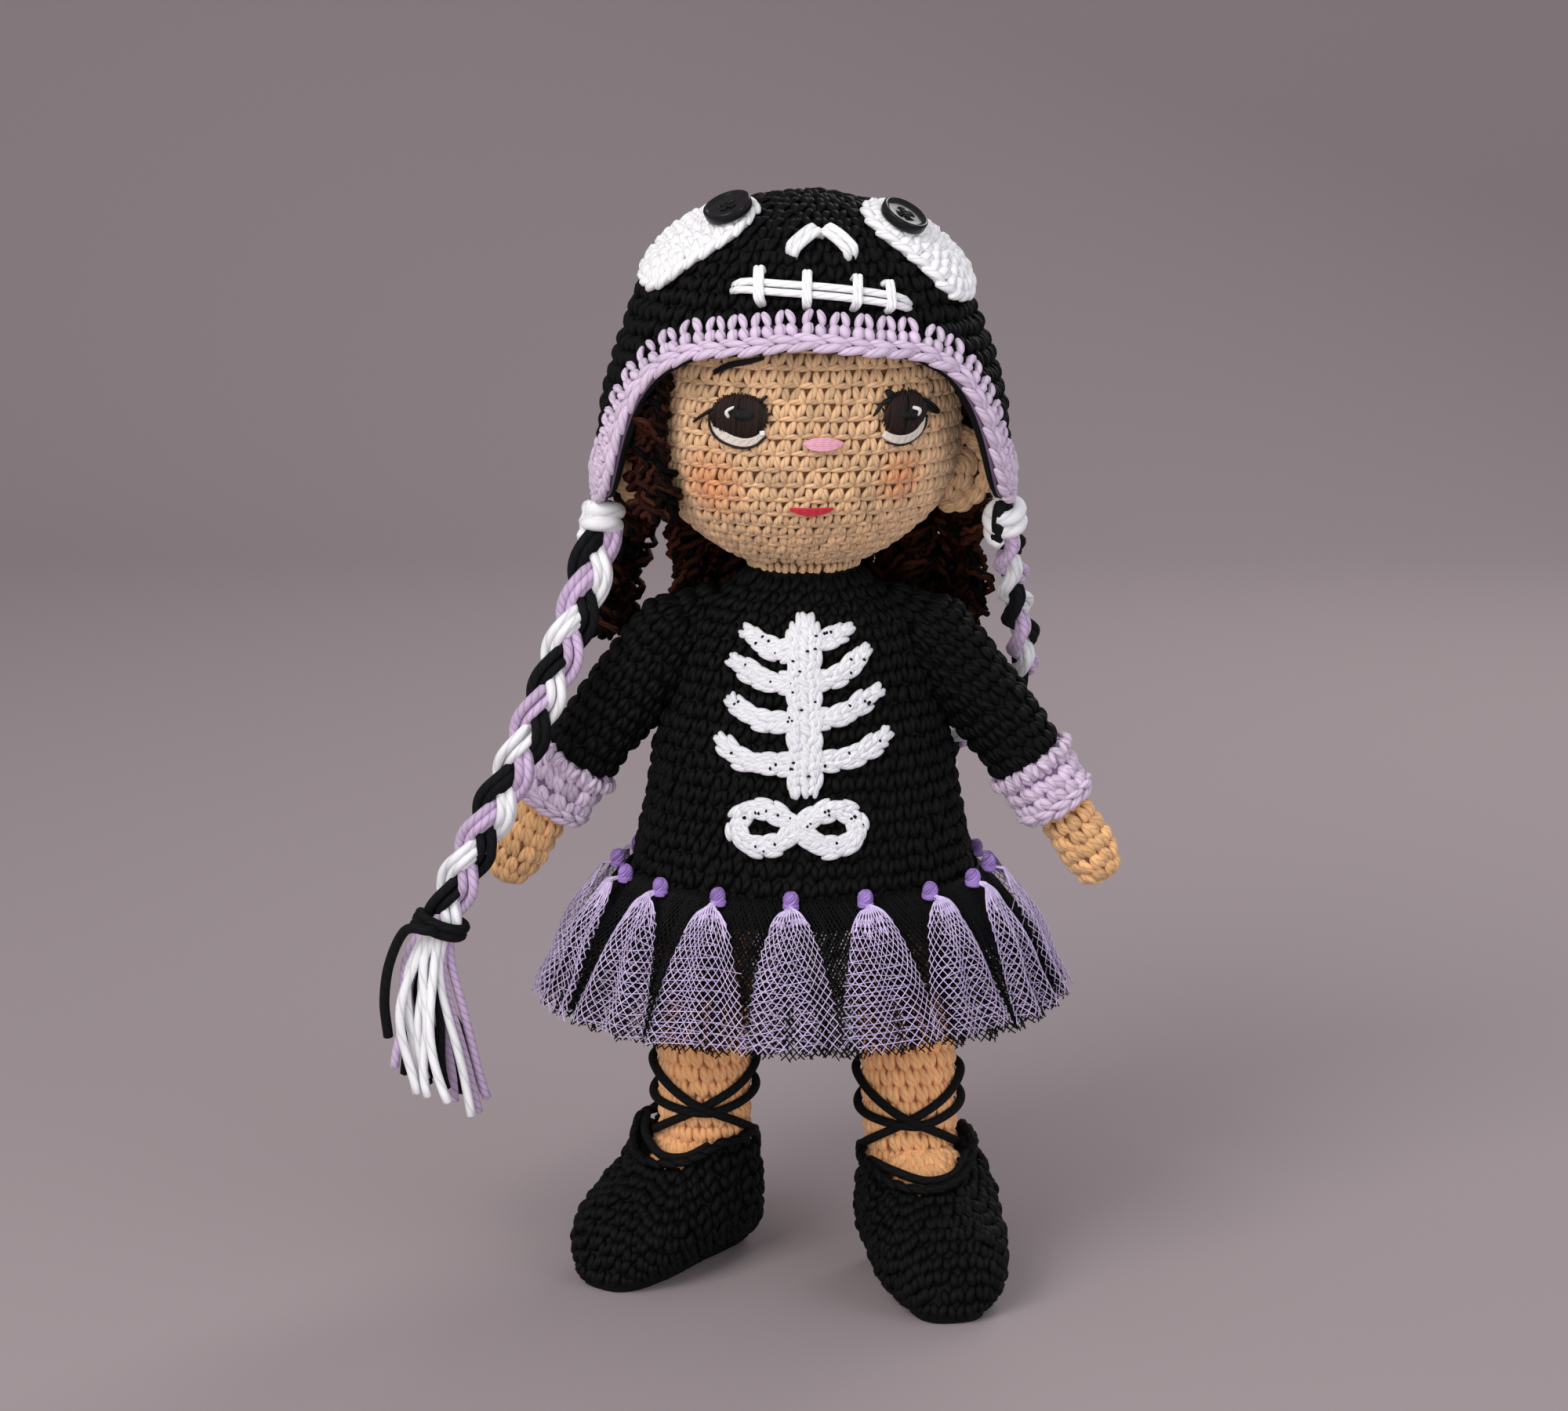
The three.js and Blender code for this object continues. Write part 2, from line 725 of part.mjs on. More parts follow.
for (const [word, side] of sides) {
  const eyeX = faceCentre + side * eyeSpread;
  const eyeAt = frontTarget(head, eyeX, onHead(eyeUpShare));
  const eye = padOn(head, eyeAt, levelward, eyeWidth / 2, eyeHeight / 2, stitchThickness);
  addPart("eye_" + word, eye, colors.iris, 0.8);
  const earPoint = new THREE.Vector3(side * headHalfWidth, 0, onHead(earUpShare));
  const ear = padOn(head, earPoint, upward, earHeight / 2, earDepth / 2, earStand);
  addPart("ear_" + word, ear, colors.skin, 0.9);
}
const nose = padOn(
  head, frontTarget(head, faceCentre, onHead(noseUpShare)), levelward, noseWidth / 2,
  noseHeight / 2, stitchThickness * 1.3,
);
addPart("nose_stitch", nose, colors.pink, 0.7);
const mouth = padOn(
  head, frontTarget(head, mouthShare * headHalfWidth, onHead(mouthUpShare)), levelward,
  mouthWidth / 2, mouthHeight / 2, stitchThickness,
);
addPart("mouth_stitch", mouth, colors.red, 0.7);
const browX = faceCentre - eyeSpread;
const browZ = onHead(browUpShare);
const brow = stripOn(
  head,
  [
    frontTarget(head, browX - browLength / 2, browZ - browWidth),
    frontTarget(head, browX, browZ + browWidth / 2),
    frontTarget(head, browX + browLength / 2, browZ + browWidth),
  ],
  browWidth, stitchThickness, gap, 4,
);
addPart("brow_stitch", brow, colors.iris, 0.8);

// Hair: a wig cap under the hat, a fall down the back and a lock behind each ear
const degrees = THREE.MathUtils.radToDeg;
function turnFromFront(turn) {
  const around = ((degrees(turn) % 360) + 360) % 360;
  return around > 180 ? 360 - around : around;
}
// The lower edge of the hair, as shares of the head's height by degrees from the front
const hairBackShare = 0.3175;
const hairEdgeShares = [
  [0, 0.7256], [45, 0.7143], [58, 0.635], [70, 0.51], [80, 0.448], [125, 0.431], [150, 0.329],
  [180, hairBackShare],
];
const hairEdge = (turn) => head.shareAt(onHead(table(hairEdgeShares, turnFromFront(turn))));
const hairCap = capShell(
  head, hairEdge, hatRows, dressColumns, hairCapThickness, hairCapLift + hairCapThickness,
);
addPart("hair_cap", hairCap, colors.hair, 0.8);

const hairFallTop = onHead(hairBackShare) - hairCapLift / 2;
const hairFallSpread = 52;
function hairFallRows() {
  const rows = [];
  const columns = 10;
  const levels = 6;
  for (let i = 0; i <= levels; i++) {
    const share = i / levels;
    const z = hairFallTop - share * hairFallLength;
    const outer = hairFallOuter - hairFallThickness * smoothstep(share * 1.4) * 0.9;
    const wall = hairFallThickness * (share < 1 ? 1 - 0.25 * share : 0.5);
    const spread = hairFallSpread - share * hairFallSpread * 0.12;
    const ring = [];
    for (const [radius, flip] of [[outer, 1], [outer - wall, -1]]) {
      for (let j = 0; j <= columns; j++) {
        const across = (flip * (2 * j - columns)) / columns;
        const turn = THREE.MathUtils.degToRad(180 + across * spread);
        ring.push(
          new THREE.Vector3(
            radius * Math.sin(turn), -radius * headDepthRatio * Math.cos(turn), z,
          ),
        );
      }
    }
    rows.push(ring);
  }
  return rows;
}
addPart("hair_fall", ringsMesh(hairFallRows(), false, true), colors.hair, 0.8);

const lockRadiusShares = [[0, 0.4], [0.3, 0.75], [0.55, 1], [0.8, 0.85], [1, 0.35]];
for (const [word, side] of sides) {
  const path = [
    [0.98, 0.4, 0], [1.02, 0.42, 0.25], [1.05, 0.47, 0.5], [1.06, 0.5, 0.75], [1.04, 0.52, 1],
  ].map(
    ([x, y, z]) =>
      new THREE.Vector3(side * headHalfWidth * x, headHalfWidth * y, lockTop - lockLength * z),
  );
  const radii = lockRadiusShares.map(([share, r]) => [share, r * lockRadius]);
  const lock = cord(path, radii, 10, 6);
  addPart("hair_lock_" + word, lock, colors.hair, 0.8);
}

// Hat: crown with the ear flaps, and the lilac trim worked along its edge
// The edge of the hat, as shares of its height by degrees from the front
const hatEdgeShares = [
  [0, 0.543], [35, 0.504], [47, 0.444], [53, 0.369], [57, 0.281], [61, 0.181], [66, 0.081], [72, 0.026],
  [80, 0.005], [90, 0.004], [100, 0.031], [110, 0.1], [122, 0.169], [140, 0.194], [180, 0.2],
];
const onHat = (share) => hatBase + share * hatHeight;
function hatEdgeZ(turn) {
  return onHat(table(hatEdgeShares, turnFromFront(turn)));
}
// The trim keeps its width square to the edge, also where the edge climbs steeply.
function trimTopZ(turn) {
  let best = hatEdgeZ(turn) + trimWidth;
  const steps = 12;
  for (let i = -steps; i <= steps; i++) {
    const along = (trimWidth * i) / steps;
    const near = hatEdgeZ(turn + along / hatHalfWidth);
    best = Math.max(best, near + Math.sqrt(trimWidth ** 2 - along ** 2));
  }
  return best;
}
const trimLow = (turn) => hat.shareAt(hatEdgeZ(turn));
const trimHigh = (turn) => hat.shareAt(trimTopZ(turn) - gap);
const crownLow = (turn) => hat.shareAt(trimTopZ(turn));
addPart("hat_crown", capShell(hat, crownLow, hatRows, hatColumns, hatThickness), colors.black, 0.95);
const trim = bandShell(hat, trimLow, trimHigh, 2, hatColumns, hatThickness);
addPart("hat_trim", trim, colors.lilac, 0.9);

// Skull face sewn on the hat: eye patches with buttons, nose and stitched mouth
// Places on the hat: across and back in shares of its half width, up in shares of its height
const patchLowShares = [[-0.75, -0.225, 0.731], [0.779, -0.244, 0.6875]];
const patchHighShares = [[-0.2345, -0.319, 0.95], [0.291, -0.281, 0.9475]];
const buttonShares = [[-0.33, -0.368, 0.9125], [0.433, -0.341, 0.889]];
const vector = ([x, y, z]) => new THREE.Vector3(x, y, z);
const hatPlace = ([x, y, z]) => new THREE.Vector3(x * hatHalfWidth, y * hatHalfWidth, onHat(z));
sides.forEach(([word, side], i) => {
  const low = hatPlace(patchLowShares[i]);
  const high = hatPlace(patchHighShares[i]);
  const centre = low.clone().lerp(high, 0.5);
  const along = high.clone().sub(low);
  const patch = padOn(
    hat, centre, along, patchLength / 2, patchWidth / 2, patchThickness, 20,
  );
  addPart("hat_patch_" + word, patch, colors.white, 0.9);
  const seat = hat.project(hatPlace(buttonShares[i]), patchThickness + 2 * gap);
  const rim = buttonRadius * 0.8;
  const dish = buttonThickness * 0.3;
  const disc = new THREE.LatheGeometry(
    [
      [0, 0], [buttonRadius * 0.9, 0], [buttonRadius, buttonThickness * 0.4],
      [buttonRadius * 0.96, buttonThickness], [rim, buttonThickness],
      [rim * 0.9, buttonThickness - dish], [0, buttonThickness - dish],
    ].map(([r, h]) => new THREE.Vector2(r, h)),
    20,
  );
  let button = solid(disc);
  for (let k = 0; k < 4; k++) {
    const a = (k * Math.PI) / 2 + Math.PI / 4;
    const drill = new THREE.CylinderGeometry(
      buttonHoleRadius, buttonHoleRadius, buttonThickness * 3, 8,
    );
    const spread = buttonHoleSpread;
    drill.translate(spread * Math.cos(a), 0, spread * Math.sin(a));
    button = button.subtract(solid(drill));
  }
  const turn = new THREE.Quaternion().setFromUnitVectors(new THREE.Vector3(0, 1, 0), seat.normal);
  const place = new THREE.Matrix4().compose(seat.point, turn, new THREE.Vector3(1, 1, 1));
  addPart("button_" + word, button.transform(place.toArray()), colors.black, 0.35);
});

const noseStitchShares = [
  [-0.071, -0.645, 0.819], [0.041, -0.525, 0.891],
  [0.105, -0.522, 0.891], [0.238, -0.63, 0.801],
];
addPart(
  "hat_nose_stitch",
  stripOn(hat, noseStitchShares.map(hatPlace), hatStitchWidth, hatStitchThickness, gap, 8),
  colors.white, 0.85,
);
const mouthLineShares = [[-0.336, -0.679, 0.73], [0.084, -0.741, 0.709], [0.497, -0.627, 0.666]];
const crossStitchShares = [
  [[-0.195, -0.675, 0.777], [-0.195, -0.758, 0.68]],
  [[0.011, -0.715, 0.767], [0.009, -0.786, 0.674]],
  [[0.231, -0.696, 0.755], [0.229, -0.76, 0.667]],
  [[0.368, -0.659, 0.738], [0.39, -0.719, 0.656]],
];
const mouthLine = union([
  stripOn(hat, mouthLineShares.map(hatPlace), hatStitchWidth, hatStitchThickness, gap, 8),
  ...crossStitchShares.map((ends) =>
    stripOn(hat, ends.map(hatPlace), hatStitchWidth * 0.8, hatStitchThickness * 1.2, gap, 2),
  ),
]);
addPart("hat_mouth_stitch", mouthLine, colors.white, 0.85);

// Ribcage and pelvis, crocheted flat and sewn on the front of the dress
// Places on the dress front: across in shares of its half width, up in shares of its height
const spineShares = [0.9255, 0.668, 0.41];
const ribShares = [
  [[0, 0.855], [-0.167, 0.833], [-0.321, 0.889]],
  [[0, 0.855], [0.146, 0.861], [0.258, 0.894]],
  [[0, 0.727], [-0.188, 0.736], [-0.392, 0.798]],
  [[0, 0.727], [0.188, 0.757], [0.346, 0.827]],
  [[0, 0.615], [-0.208, 0.611], [-0.413, 0.669]],
  [[0, 0.615], [0.208, 0.632], [0.417, 0.707]],
  [[0, 0.482], [-0.333, 0.491], [-0.492, 0.561]],
  [[0, 0.482], [0.292, 0.508], [0.479, 0.577]],
];
const dressPlace = ([x, up]) => {
  return frontTarget(dress, x * dressHalfWidth, THREE.MathUtils.lerp(dressHem, dressNeck, up));
};
const spine = stripOn(
  dress, spineShares.map((up) => dressPlace([0, up])), boneWidth * 1.5, boneThickness, boneLift, 8,
);
const ribs = ribShares.map((places) =>
  stripOn(dress, places.map(dressPlace), boneWidth, boneThickness, boneLift, 5),
);
addPart("ribcage_patch", union([spine, ...ribs]), colors.white, 0.9);

const pelvisPlaceShares = [-0.0375, 0.291];
const loops = [-1, 1].map((side) => {
  const centre = dressPlace(pelvisPlaceShares);
  const rx = (pelvisWidth - pelvisBand) / 4;
  const rz = (pelvisHeight - pelvisBand) / 2;
  const rows = [];
  const steps = 16;
  for (let i = 0; i < steps; i++) {
    const a = (i / steps) * 2 * Math.PI;
    const ring = [];
    for (const [reach, lift] of [[-1, 0], [1, 0], [1, 1], [-1, 1]]) {
      const x = centre.x + side * rx + (rx + (reach * pelvisBand) / 2) * Math.cos(a);
      const z = centre.z + (rz + (reach * pelvisBand) / 2) * Math.sin(a);
      ring.push(dress.project(frontTarget(dress, x, z), boneLift + lift * boneThickness).point);
    }
    rows.push(ring);
  }
  return ringsMesh(rows, true);
});
addPart("pelvis_patch", union(loops), colors.white, 0.9);

// Tutu: a pleated black under-layer, and lilac strips knotted at the hem of the dress
function tutuRadius(share, lift) {
  const top = dress.halfWidthAt(tutuTop) + gap;
  const spread = Math.max(share, 0) ** 0.85;
  return THREE.MathUtils.lerp(top, tutuHalfWidth, spread) + lift;
}
function tutuPoint(turn, share, lift) {
  const r = tutuRadius(share, lift);
  const ratio = THREE.MathUtils.lerp(dressDepthRatio, tutuDepthRatio, smoothstep(share * 2));
  const z = THREE.MathUtils.lerp(tutuTop, tutuHem, share);
  return new THREE.Vector3(r * Math.sin(turn), -r * ratio * Math.cos(turn), z);
}
const tutuColumns = 2 * stripCount;
// The folds grow from nothing at the top, where the net is sewn to the dress.
const foldAt = (share) => tutuFold * THREE.MathUtils.clamp(share * 1.5, 0, 1);
const underRows = (lift, reverse) => {
  const rows = [0, 0.2, 0.6, 1].map((share) =>
    Array.from({ length: tutuColumns }, (_, j) => {
      const turn = (j / tutuColumns) * 2 * Math.PI;
      return tutuPoint(turn, share, lift + (j % 2) * 2 * foldAt(share));
    }),
  );
  return reverse ? rows.reverse() : rows;
};
const underLayer = ringsMesh([...underRows(tulleThickness, false), ...underRows(0, true)], true);
addPart("tutu_underlayer", underLayer, colors.black, 0.9);

// Each strip: share of the way down, width share and thickness share of the knot, and fold share
const stripRowShares = [
  [-0.08, 0.5, 0.5, 0], [-0.03, 1, 1, 0], [0.04, 1, 1, 0], [0.09, 0.7, 0.5, 0], [0.24, 0.45, 0, 0.5],
  [0.6, 0.8, 0, 1], [1, 1, 0, 1],
];
for (let k = 0; k < stripCount; k++) {
  const middle = ((k + firstStripShare) / stripCount) * 2 * Math.PI;
  const columns = 4;
  const rings = stripRowShares.map(([share, widthShare, knotShare, foldShare]) => {
    const knotted = knotShare > 0;
    const width = widthShare * (knotted ? 2 * stripKnotRadius : stripHemWidth);
    const thickness = knotted ? 2 * stripKnotRadius * knotShare : tulleThickness;
    const clear = 2 * foldAt(share) + tulleThickness + gap;
    const side = (lift) =>
      Array.from({ length: columns + 1 }, (_, j) => {
        const across = ((j / columns - 0.5) * width) / tutuRadius(Math.max(share, 0), 0);
        const fold = stripFold * foldShare * (j % 2);
        return tutuPoint(middle + across, share, clear + fold + lift);
      });
    return [...side(thickness), ...side(0).reverse()];
  });
  addPart("tulle_strip_" + String(k + 1).padStart(2, "0"), ringsMesh(rings, false, true), colors.tulle, 0.9);
}

// Braids with their tassels: three strands plaited from the tips of the ear flaps
const braidRoutes = {
  right: [
    [-51.6, -6, 203.2], [-51.9, -6.4, 198.6], [-53.6, -9, 191], [-55.6, -11.5, 183], [-58.2, -14, 174.5],
    [-61.6, -16.5, 166], [-65.4, -18.8, 157.5], [-69, -20.2, 149.5], [-72.4, -21, 141.5],
    [-76, -21.3, 133.5], [-79.8, -21.4, 125.5], [-83.6, -21.4, 117.5], [-87.6, -21.3, 109.5],
    [-91.4, -21.2, 101.5], [-94.6, -21, 94],
  ],
  left: [
    [51.6, -4.6, 203.2], [51.9, -4.3, 198.6], [53.3, 2.5, 191.5], [54.4, 8, 184.5], [55.6, 13.5, 177],
    [57.2, 18.6, 169.5], [58.8, 23, 162], [59, 27.5, 154.5], [56.6, 32.5, 147.5], [52, 37.5, 141.5],
    [46.8, 42, 136], [42, 46, 129.8], [38.4, 49, 122.8], [36, 51.6, 115.2], [34.8, 54, 107.6],
  ],
};
const tasselWays = { right: [0.25, -0.02, -0.97], left: [-0.05, 0.72, -0.66] };
for (const [word, side] of sides) {
  const route = braidRoutes[word].map(vector);
  addPart("braid_" + word, cord(route, braidRadius, 10, 14), colors.lilac, 0.85);
  const end = route[route.length - 1];
  const way = vector(tasselWays[word]).normalize();
  const last = end.clone().sub(route[route.length - 2]).normalize();
  const start = end.clone().addScaledVector(last, 2 * gap);
  const bend = start.clone().addScaledVector(last, tasselLength * 0.35);
  const path = new THREE.QuadraticBezierCurve3(
    start, bend, bend.clone().addScaledVector(way, tasselLength * 0.65),
  );
  const radii = [
    [0, braidRadius * 0.9], [0.1, braidRadius], [0.35, braidRadius * 1.3], [1, tasselEndRadius],
  ];
  const tassel = cord(path.getPoints(12), radii, 12, 7);
  addPart("tassel_" + word, tassel, colors.white, 0.85);
  const ringCentre = end.clone().addScaledVector(last, -2 * tieRadius);
  const sideways = new THREE.Vector3().crossVectors(last, new THREE.Vector3(0, 1, 0)).normalize();
  const inward = new THREE.Vector3().crossVectors(sideways, last);
  const ringRadius = braidRadius + tieRadius + gap;
  const ringPoints = Array.from({ length: 12 }, (_, j) => {
    const a = (j / 12) * 2 * Math.PI;
    return ringCentre
      .clone()
      .addScaledVector(sideways, ringRadius * Math.cos(a))
      .addScaledVector(inward, ringRadius * Math.sin(a));
  });
  addPart("tie_" + word, cord(ringPoints, tieRadius, 8, 16, true), colors.black, 0.9);
}

export default root;
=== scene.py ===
import functools
import math

import bpy
import numpy as np
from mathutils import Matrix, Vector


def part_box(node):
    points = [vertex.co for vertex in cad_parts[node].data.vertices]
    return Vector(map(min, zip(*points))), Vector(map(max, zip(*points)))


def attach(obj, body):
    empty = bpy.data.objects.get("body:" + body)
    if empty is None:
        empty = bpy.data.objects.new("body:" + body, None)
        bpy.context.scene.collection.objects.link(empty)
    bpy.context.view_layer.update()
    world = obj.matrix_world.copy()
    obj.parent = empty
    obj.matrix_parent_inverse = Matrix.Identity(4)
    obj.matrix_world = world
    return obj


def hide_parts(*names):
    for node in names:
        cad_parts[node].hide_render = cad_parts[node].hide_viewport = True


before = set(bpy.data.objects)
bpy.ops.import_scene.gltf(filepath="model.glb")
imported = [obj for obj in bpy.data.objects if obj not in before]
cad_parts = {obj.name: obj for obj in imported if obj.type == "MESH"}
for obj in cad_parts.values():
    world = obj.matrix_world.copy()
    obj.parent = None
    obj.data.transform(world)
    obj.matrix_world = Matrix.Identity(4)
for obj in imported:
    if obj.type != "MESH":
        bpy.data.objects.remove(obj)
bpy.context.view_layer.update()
MM = 0.001


# The view: a camera with a long lens, almost a metre in front of the doll. It looks down on it a little, as
# in the photograph.
view_pitch = math.radians(12)
view_distance = 0.95
view_target = np.array([-0.005, 0.0, 0.149])
camera_data = bpy.data.cameras.new("view")
camera_data.lens = 83.4
camera_data.sensor_width = 36
camera = bpy.data.objects.new("view", camera_data)
camera.rotation_euler = (math.pi / 2 - view_pitch, 0, 0)
camera.location = view_target + view_distance * np.array([0, -math.cos(view_pitch), math.sin(view_pitch)])
bpy.context.scene.collection.objects.link(camera)
bpy.context.scene.camera = camera
bpy.context.scene.view_settings.view_transform = "Standard"


# The braids hang from the tips of the ear flaps. Each has a white, a lilac and a black strand of soft
# cotton cord, a black cord tied round its end, and a tassel of the same cords below the tie.
cord_white = (0.86, 0.86, 0.89)
cord_lilac = (0.60, 0.45, 0.66)
cord_black = (0.006, 0.006, 0.007)


def runs_along(line):
    """The length along a line up to each of its points."""
    return np.concatenate([[0], np.cumsum(np.linalg.norm(np.diff(line, axis=0), axis=1))])


def look_up(x, keys, table):
    """The rows of a table at places x between its keys."""
    return np.stack([np.interp(x, keys, column) for column in table.T], -1)


def smooth_line(points, count, each_share=False):
    """Points along a Catmull-Rom curve through the given points, evenly spaced in length."""
    p = np.asarray(points, float)
    p = np.vstack([2 * p[0] - p[1], p, 2 * p[-1] - p[-2]])
    t = np.linspace(0, 1, 24, endpoint=False)[:, None]
    runs = []
    for a, b, c, d in zip(p[:-3], p[1:-2], p[2:-1], p[3:]):
        bend = (2 * a - 5 * b + 4 * c - d) * t**2 + (3 * b - 3 * c + d - a) * t**3
        runs.append(0.5 * (2 * b + (c - a) * t + bend))
    dense = np.vstack([*runs, p[-2:-1]])
    along = runs_along(dense)
    even = np.linspace(0, along[-1], count)
    line = look_up(even, along, dense)
    return (line, even) if each_share else line


def unit(v):
    """Vectors divided by their length."""
    return v / np.maximum(np.linalg.norm(v, axis=-1, keepdims=True), 1e-12)


def skin_faces(rows, columns, close=False):
    """The quads between rings of points, and fans of triangles to two poles that follow the last ring. With
    close the last ring joins the first, and there are no poles."""
    i, j = np.meshgrid(np.arange(rows if close else rows - 1), np.arange(columns), indexing="ij")
    k, n = (j + 1) % columns, (i + 1) % rows
    quads = np.stack([i * columns + j, i * columns + k, n * columns + k, n * columns + j], -1).reshape(-1, 4)
    if close:
        return quads, np.zeros((0, 3), int)
    j, k, pole = j[0], k[0], rows * columns
    low = np.stack([0 * j + pole, k, j], -1)
    high = np.stack([0 * j + pole + 1, pole - columns + j, pole - columns + k], -1)
    return quads, np.concatenate([low, high])


def cord_chunk(paths, radii, sides, tone, slot=0, up=(0.3, -1, 0.2), flat=1.0):
    """Round cords along paths of shape (cords, steps, 3), closed with a pole at each end, with one tone each.

    A ring's points lie at centre + radius * (cos a * side + flat * sin a * lift), where side is the path's
    direction crossed with up, and lift stands on both. Each corner's map is (length, turn). The chunk is
    (points, quads, triangles, map, tones, material index), ready for piece_mesh."""
    paths = np.asarray(paths, float)
    n, m, _ = paths.shape
    radii = np.broadcast_to(np.asarray(radii, float).reshape((-1, m) if np.ndim(radii) else (1, 1)), (n, m))
    ahead = unit(np.gradient(paths, axis=1))
    side = unit(np.cross(ahead, np.broadcast_to(np.asarray(up, float), paths.shape)))
    lift = np.cross(ahead, side)
    a = 2 * np.pi * np.arange(sides) / sides
    ring = np.cos(a)[:, None] * side[:, :, None] + flat * np.sin(a)[:, None] * lift[:, :, None]
    body = paths[:, :, None] + radii[:, :, None, None] * ring
    first = paths[:, :1] - ahead[:, :1] * radii[:, :1, None] * 0.5
    last = paths[:, -1:] + ahead[:, -1:] * radii[:, -1:, None] * 0.5
    points = np.concatenate([body.reshape(n, m * sides, 3), first, last], axis=1).reshape(-1, 3)
    quads, triangles = skin_faces(m, sides)
    start = (np.arange(n) * (m * sides + 2))[:, None, None]
    along = np.array([runs_along(path) for path in paths])
    j = np.arange(sides)[:, None]
    ring_of = np.concatenate([quads.ravel() // sides, np.repeat([0, m - 1], 3 * sides)])
    turns = [quads[:, :1] % sides + [0, 1, 1, 0], j + [0.5, 1, 0], j + [0.5, 0, 1]]
    turn_of = np.concatenate([corners.ravel() for corners in turns]) / sides
    uv = np.stack([along[:, ring_of], np.broadcast_to(turn_of, (n, len(turn_of)))], -1)
    uv = np.concatenate([uv[:, :4 * len(quads)].reshape(-1, 2), uv[:, 4 * len(quads):].reshape(-1, 2)])
    tones = np.repeat(np.asarray(tone, float), m * sides + 2)
    return points, (quads + start).reshape(-1, 4), (triangles + start).reshape(-1, 3), uv, tones, slot


def piece_mesh(name, chunks, materials, body, node):
    """One piece from chunks of (points, quads, triangles, map, tones, material index). It rides on a body of
    the frame, takes the materials as its slots, and hides the solid called node, where one is named."""
    points, faces4, faces3, map4, map3, tones, index4, index3, base = [], [], [], [], [], [], [], [], 0
    for p, quads, triangles, uv, tone, index in chunks:
        points.append(p)
        faces4.append(quads + base)
        faces3.append(triangles + base)
        map4.append(uv[: 4 * len(quads)])
        map3.append(uv[4 * len(quads) :])
        tones.append(np.broadcast_to(tone, len(p)))
        index4.append(np.full(len(quads), index))
        index3.append(np.full(len(triangles), index))
        base += len(p)
    quads, triangles = np.concatenate(faces4), np.concatenate(faces3)
    sizes = np.repeat([4, 3], [len(quads), len(triangles)])
    mesh = bpy.data.meshes.new(name)
    mesh.vertices.add(base)
    mesh.vertices.foreach_set("co", np.concatenate(points).astype(np.float32).ravel())
    mesh.loops.add(sizes.sum())
    corners = np.concatenate([quads.ravel(), triangles.ravel()])
    mesh.loops.foreach_set("vertex_index", corners.astype(np.int32))
    mesh.polygons.add(len(sizes))
    mesh.polygons.foreach_set("loop_start", (np.cumsum(sizes) - sizes).astype(np.int32))
    mesh.polygons.foreach_set("material_index", np.concatenate(index4 + index3).astype(np.int32))
    mesh.update(calc_edges=True)
    mesh.polygons.foreach_set("use_smooth", np.ones(len(sizes), bool))
    layer = mesh.uv_layers.new(name="yarn")
    layer.data.foreach_set("uv", np.concatenate(map4 + map3).astype(np.float32).ravel())
    attribute = mesh.attributes.new("tone", "FLOAT", "POINT")
    attribute.data.foreach_set("value", np.concatenate(tones).astype(np.float32))
    mesh.validate(clean_customdata=False)
    for material in materials:
        mesh.materials.append(material)
    piece = bpy.data.objects.new(name, mesh)
    bpy.context.scene.collection.objects.link(piece)
    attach(piece, body)
    if node:
        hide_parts(node)
    return piece


def link(tree, value, socket):
    """Join an output to a socket, or set the socket's own value."""
    if isinstance(value, bpy.types.NodeSocket):
        tree.links.new(value, socket)
    else:
        socket.default_value = value


def maths(tree, operation, a, b=0.0, clamp=False):
    """The output of a Math node."""
    node = tree.nodes.new("ShaderNodeMath")
    node.operation = operation
    node.use_clamp = clamp
    link(tree, a, node.inputs[0])
    link(tree, b, node.inputs[1])
    return node.outputs[0]


def new_group(name, inputs, outputs):
    """An empty shader node group with number sockets, and its input and output nodes."""
    group = bpy.data.node_groups.new(name, "ShaderNodeTree")
    for label, value in inputs.items():
        group.interface.new_socket(label, in_out="INPUT", socket_type="NodeSocketFloat").default_value = value
    for label in outputs:
        group.interface.new_socket(label, in_out="OUTPUT", socket_type="NodeSocketFloat")
    return group, group.nodes.new("NodeGroupInput"), group.nodes.new("NodeGroupOutput")


# Twisted yarn: plies run round the cord as a screw, each ply carries fine fibres along the same way, and
# loose fibres blur the colour. The grooves between the plies darken the colour as painted shade. It reads
# the yarn map: length in metres, and the turn round the cord.
twist, twist_in, twist_out = new_group(
    "twisted_yarn",
    {"Plies": 3.0, "Twists per metre": 250.0, "Fibre": 1.0},
    ("Height", "Painted groove shade", "Streak"),
)
uv_node = twist.nodes.new("ShaderNodeUVMap")
uv_node.uv_map = "yarn"
split = twist.nodes.new("ShaderNodeSeparateXYZ")
twist.links.new(uv_node.outputs[0], split.inputs[0])
screw = maths(twist, "ADD", maths(twist, "MULTIPLY", split.outputs[1], twist_in.outputs["Plies"]),
              maths(twist, "MULTIPLY", split.outputs[0], twist_in.outputs["Twists per metre"]))
bump_round = maths(twist, "ABSOLUTE", maths(twist, "SINE", maths(twist, "MULTIPLY", screw, math.pi)))
painted_groove_shade = maths(twist, "POWER", maths(twist, "SUBTRACT", 1.0, bump_round), 3.0)
fibre_at = twist.nodes.new("ShaderNodeCombineXYZ")
link(twist, maths(twist, "MULTIPLY", split.outputs[0], 260.0), fibre_at.inputs[0])
link(twist, maths(twist, "MULTIPLY", screw, 7.0), fibre_at.inputs[1])
fibre = twist.nodes.new("ShaderNodeTexNoise")
fibre.inputs["Scale"].default_value = 1.0
fibre.inputs["Detail"].default_value = 3.0
twist.links.new(fibre_at.outputs[0], fibre.inputs["Vector"])
uneven = maths(twist, "SUBTRACT", fibre.outputs["Fac"], 0.5)
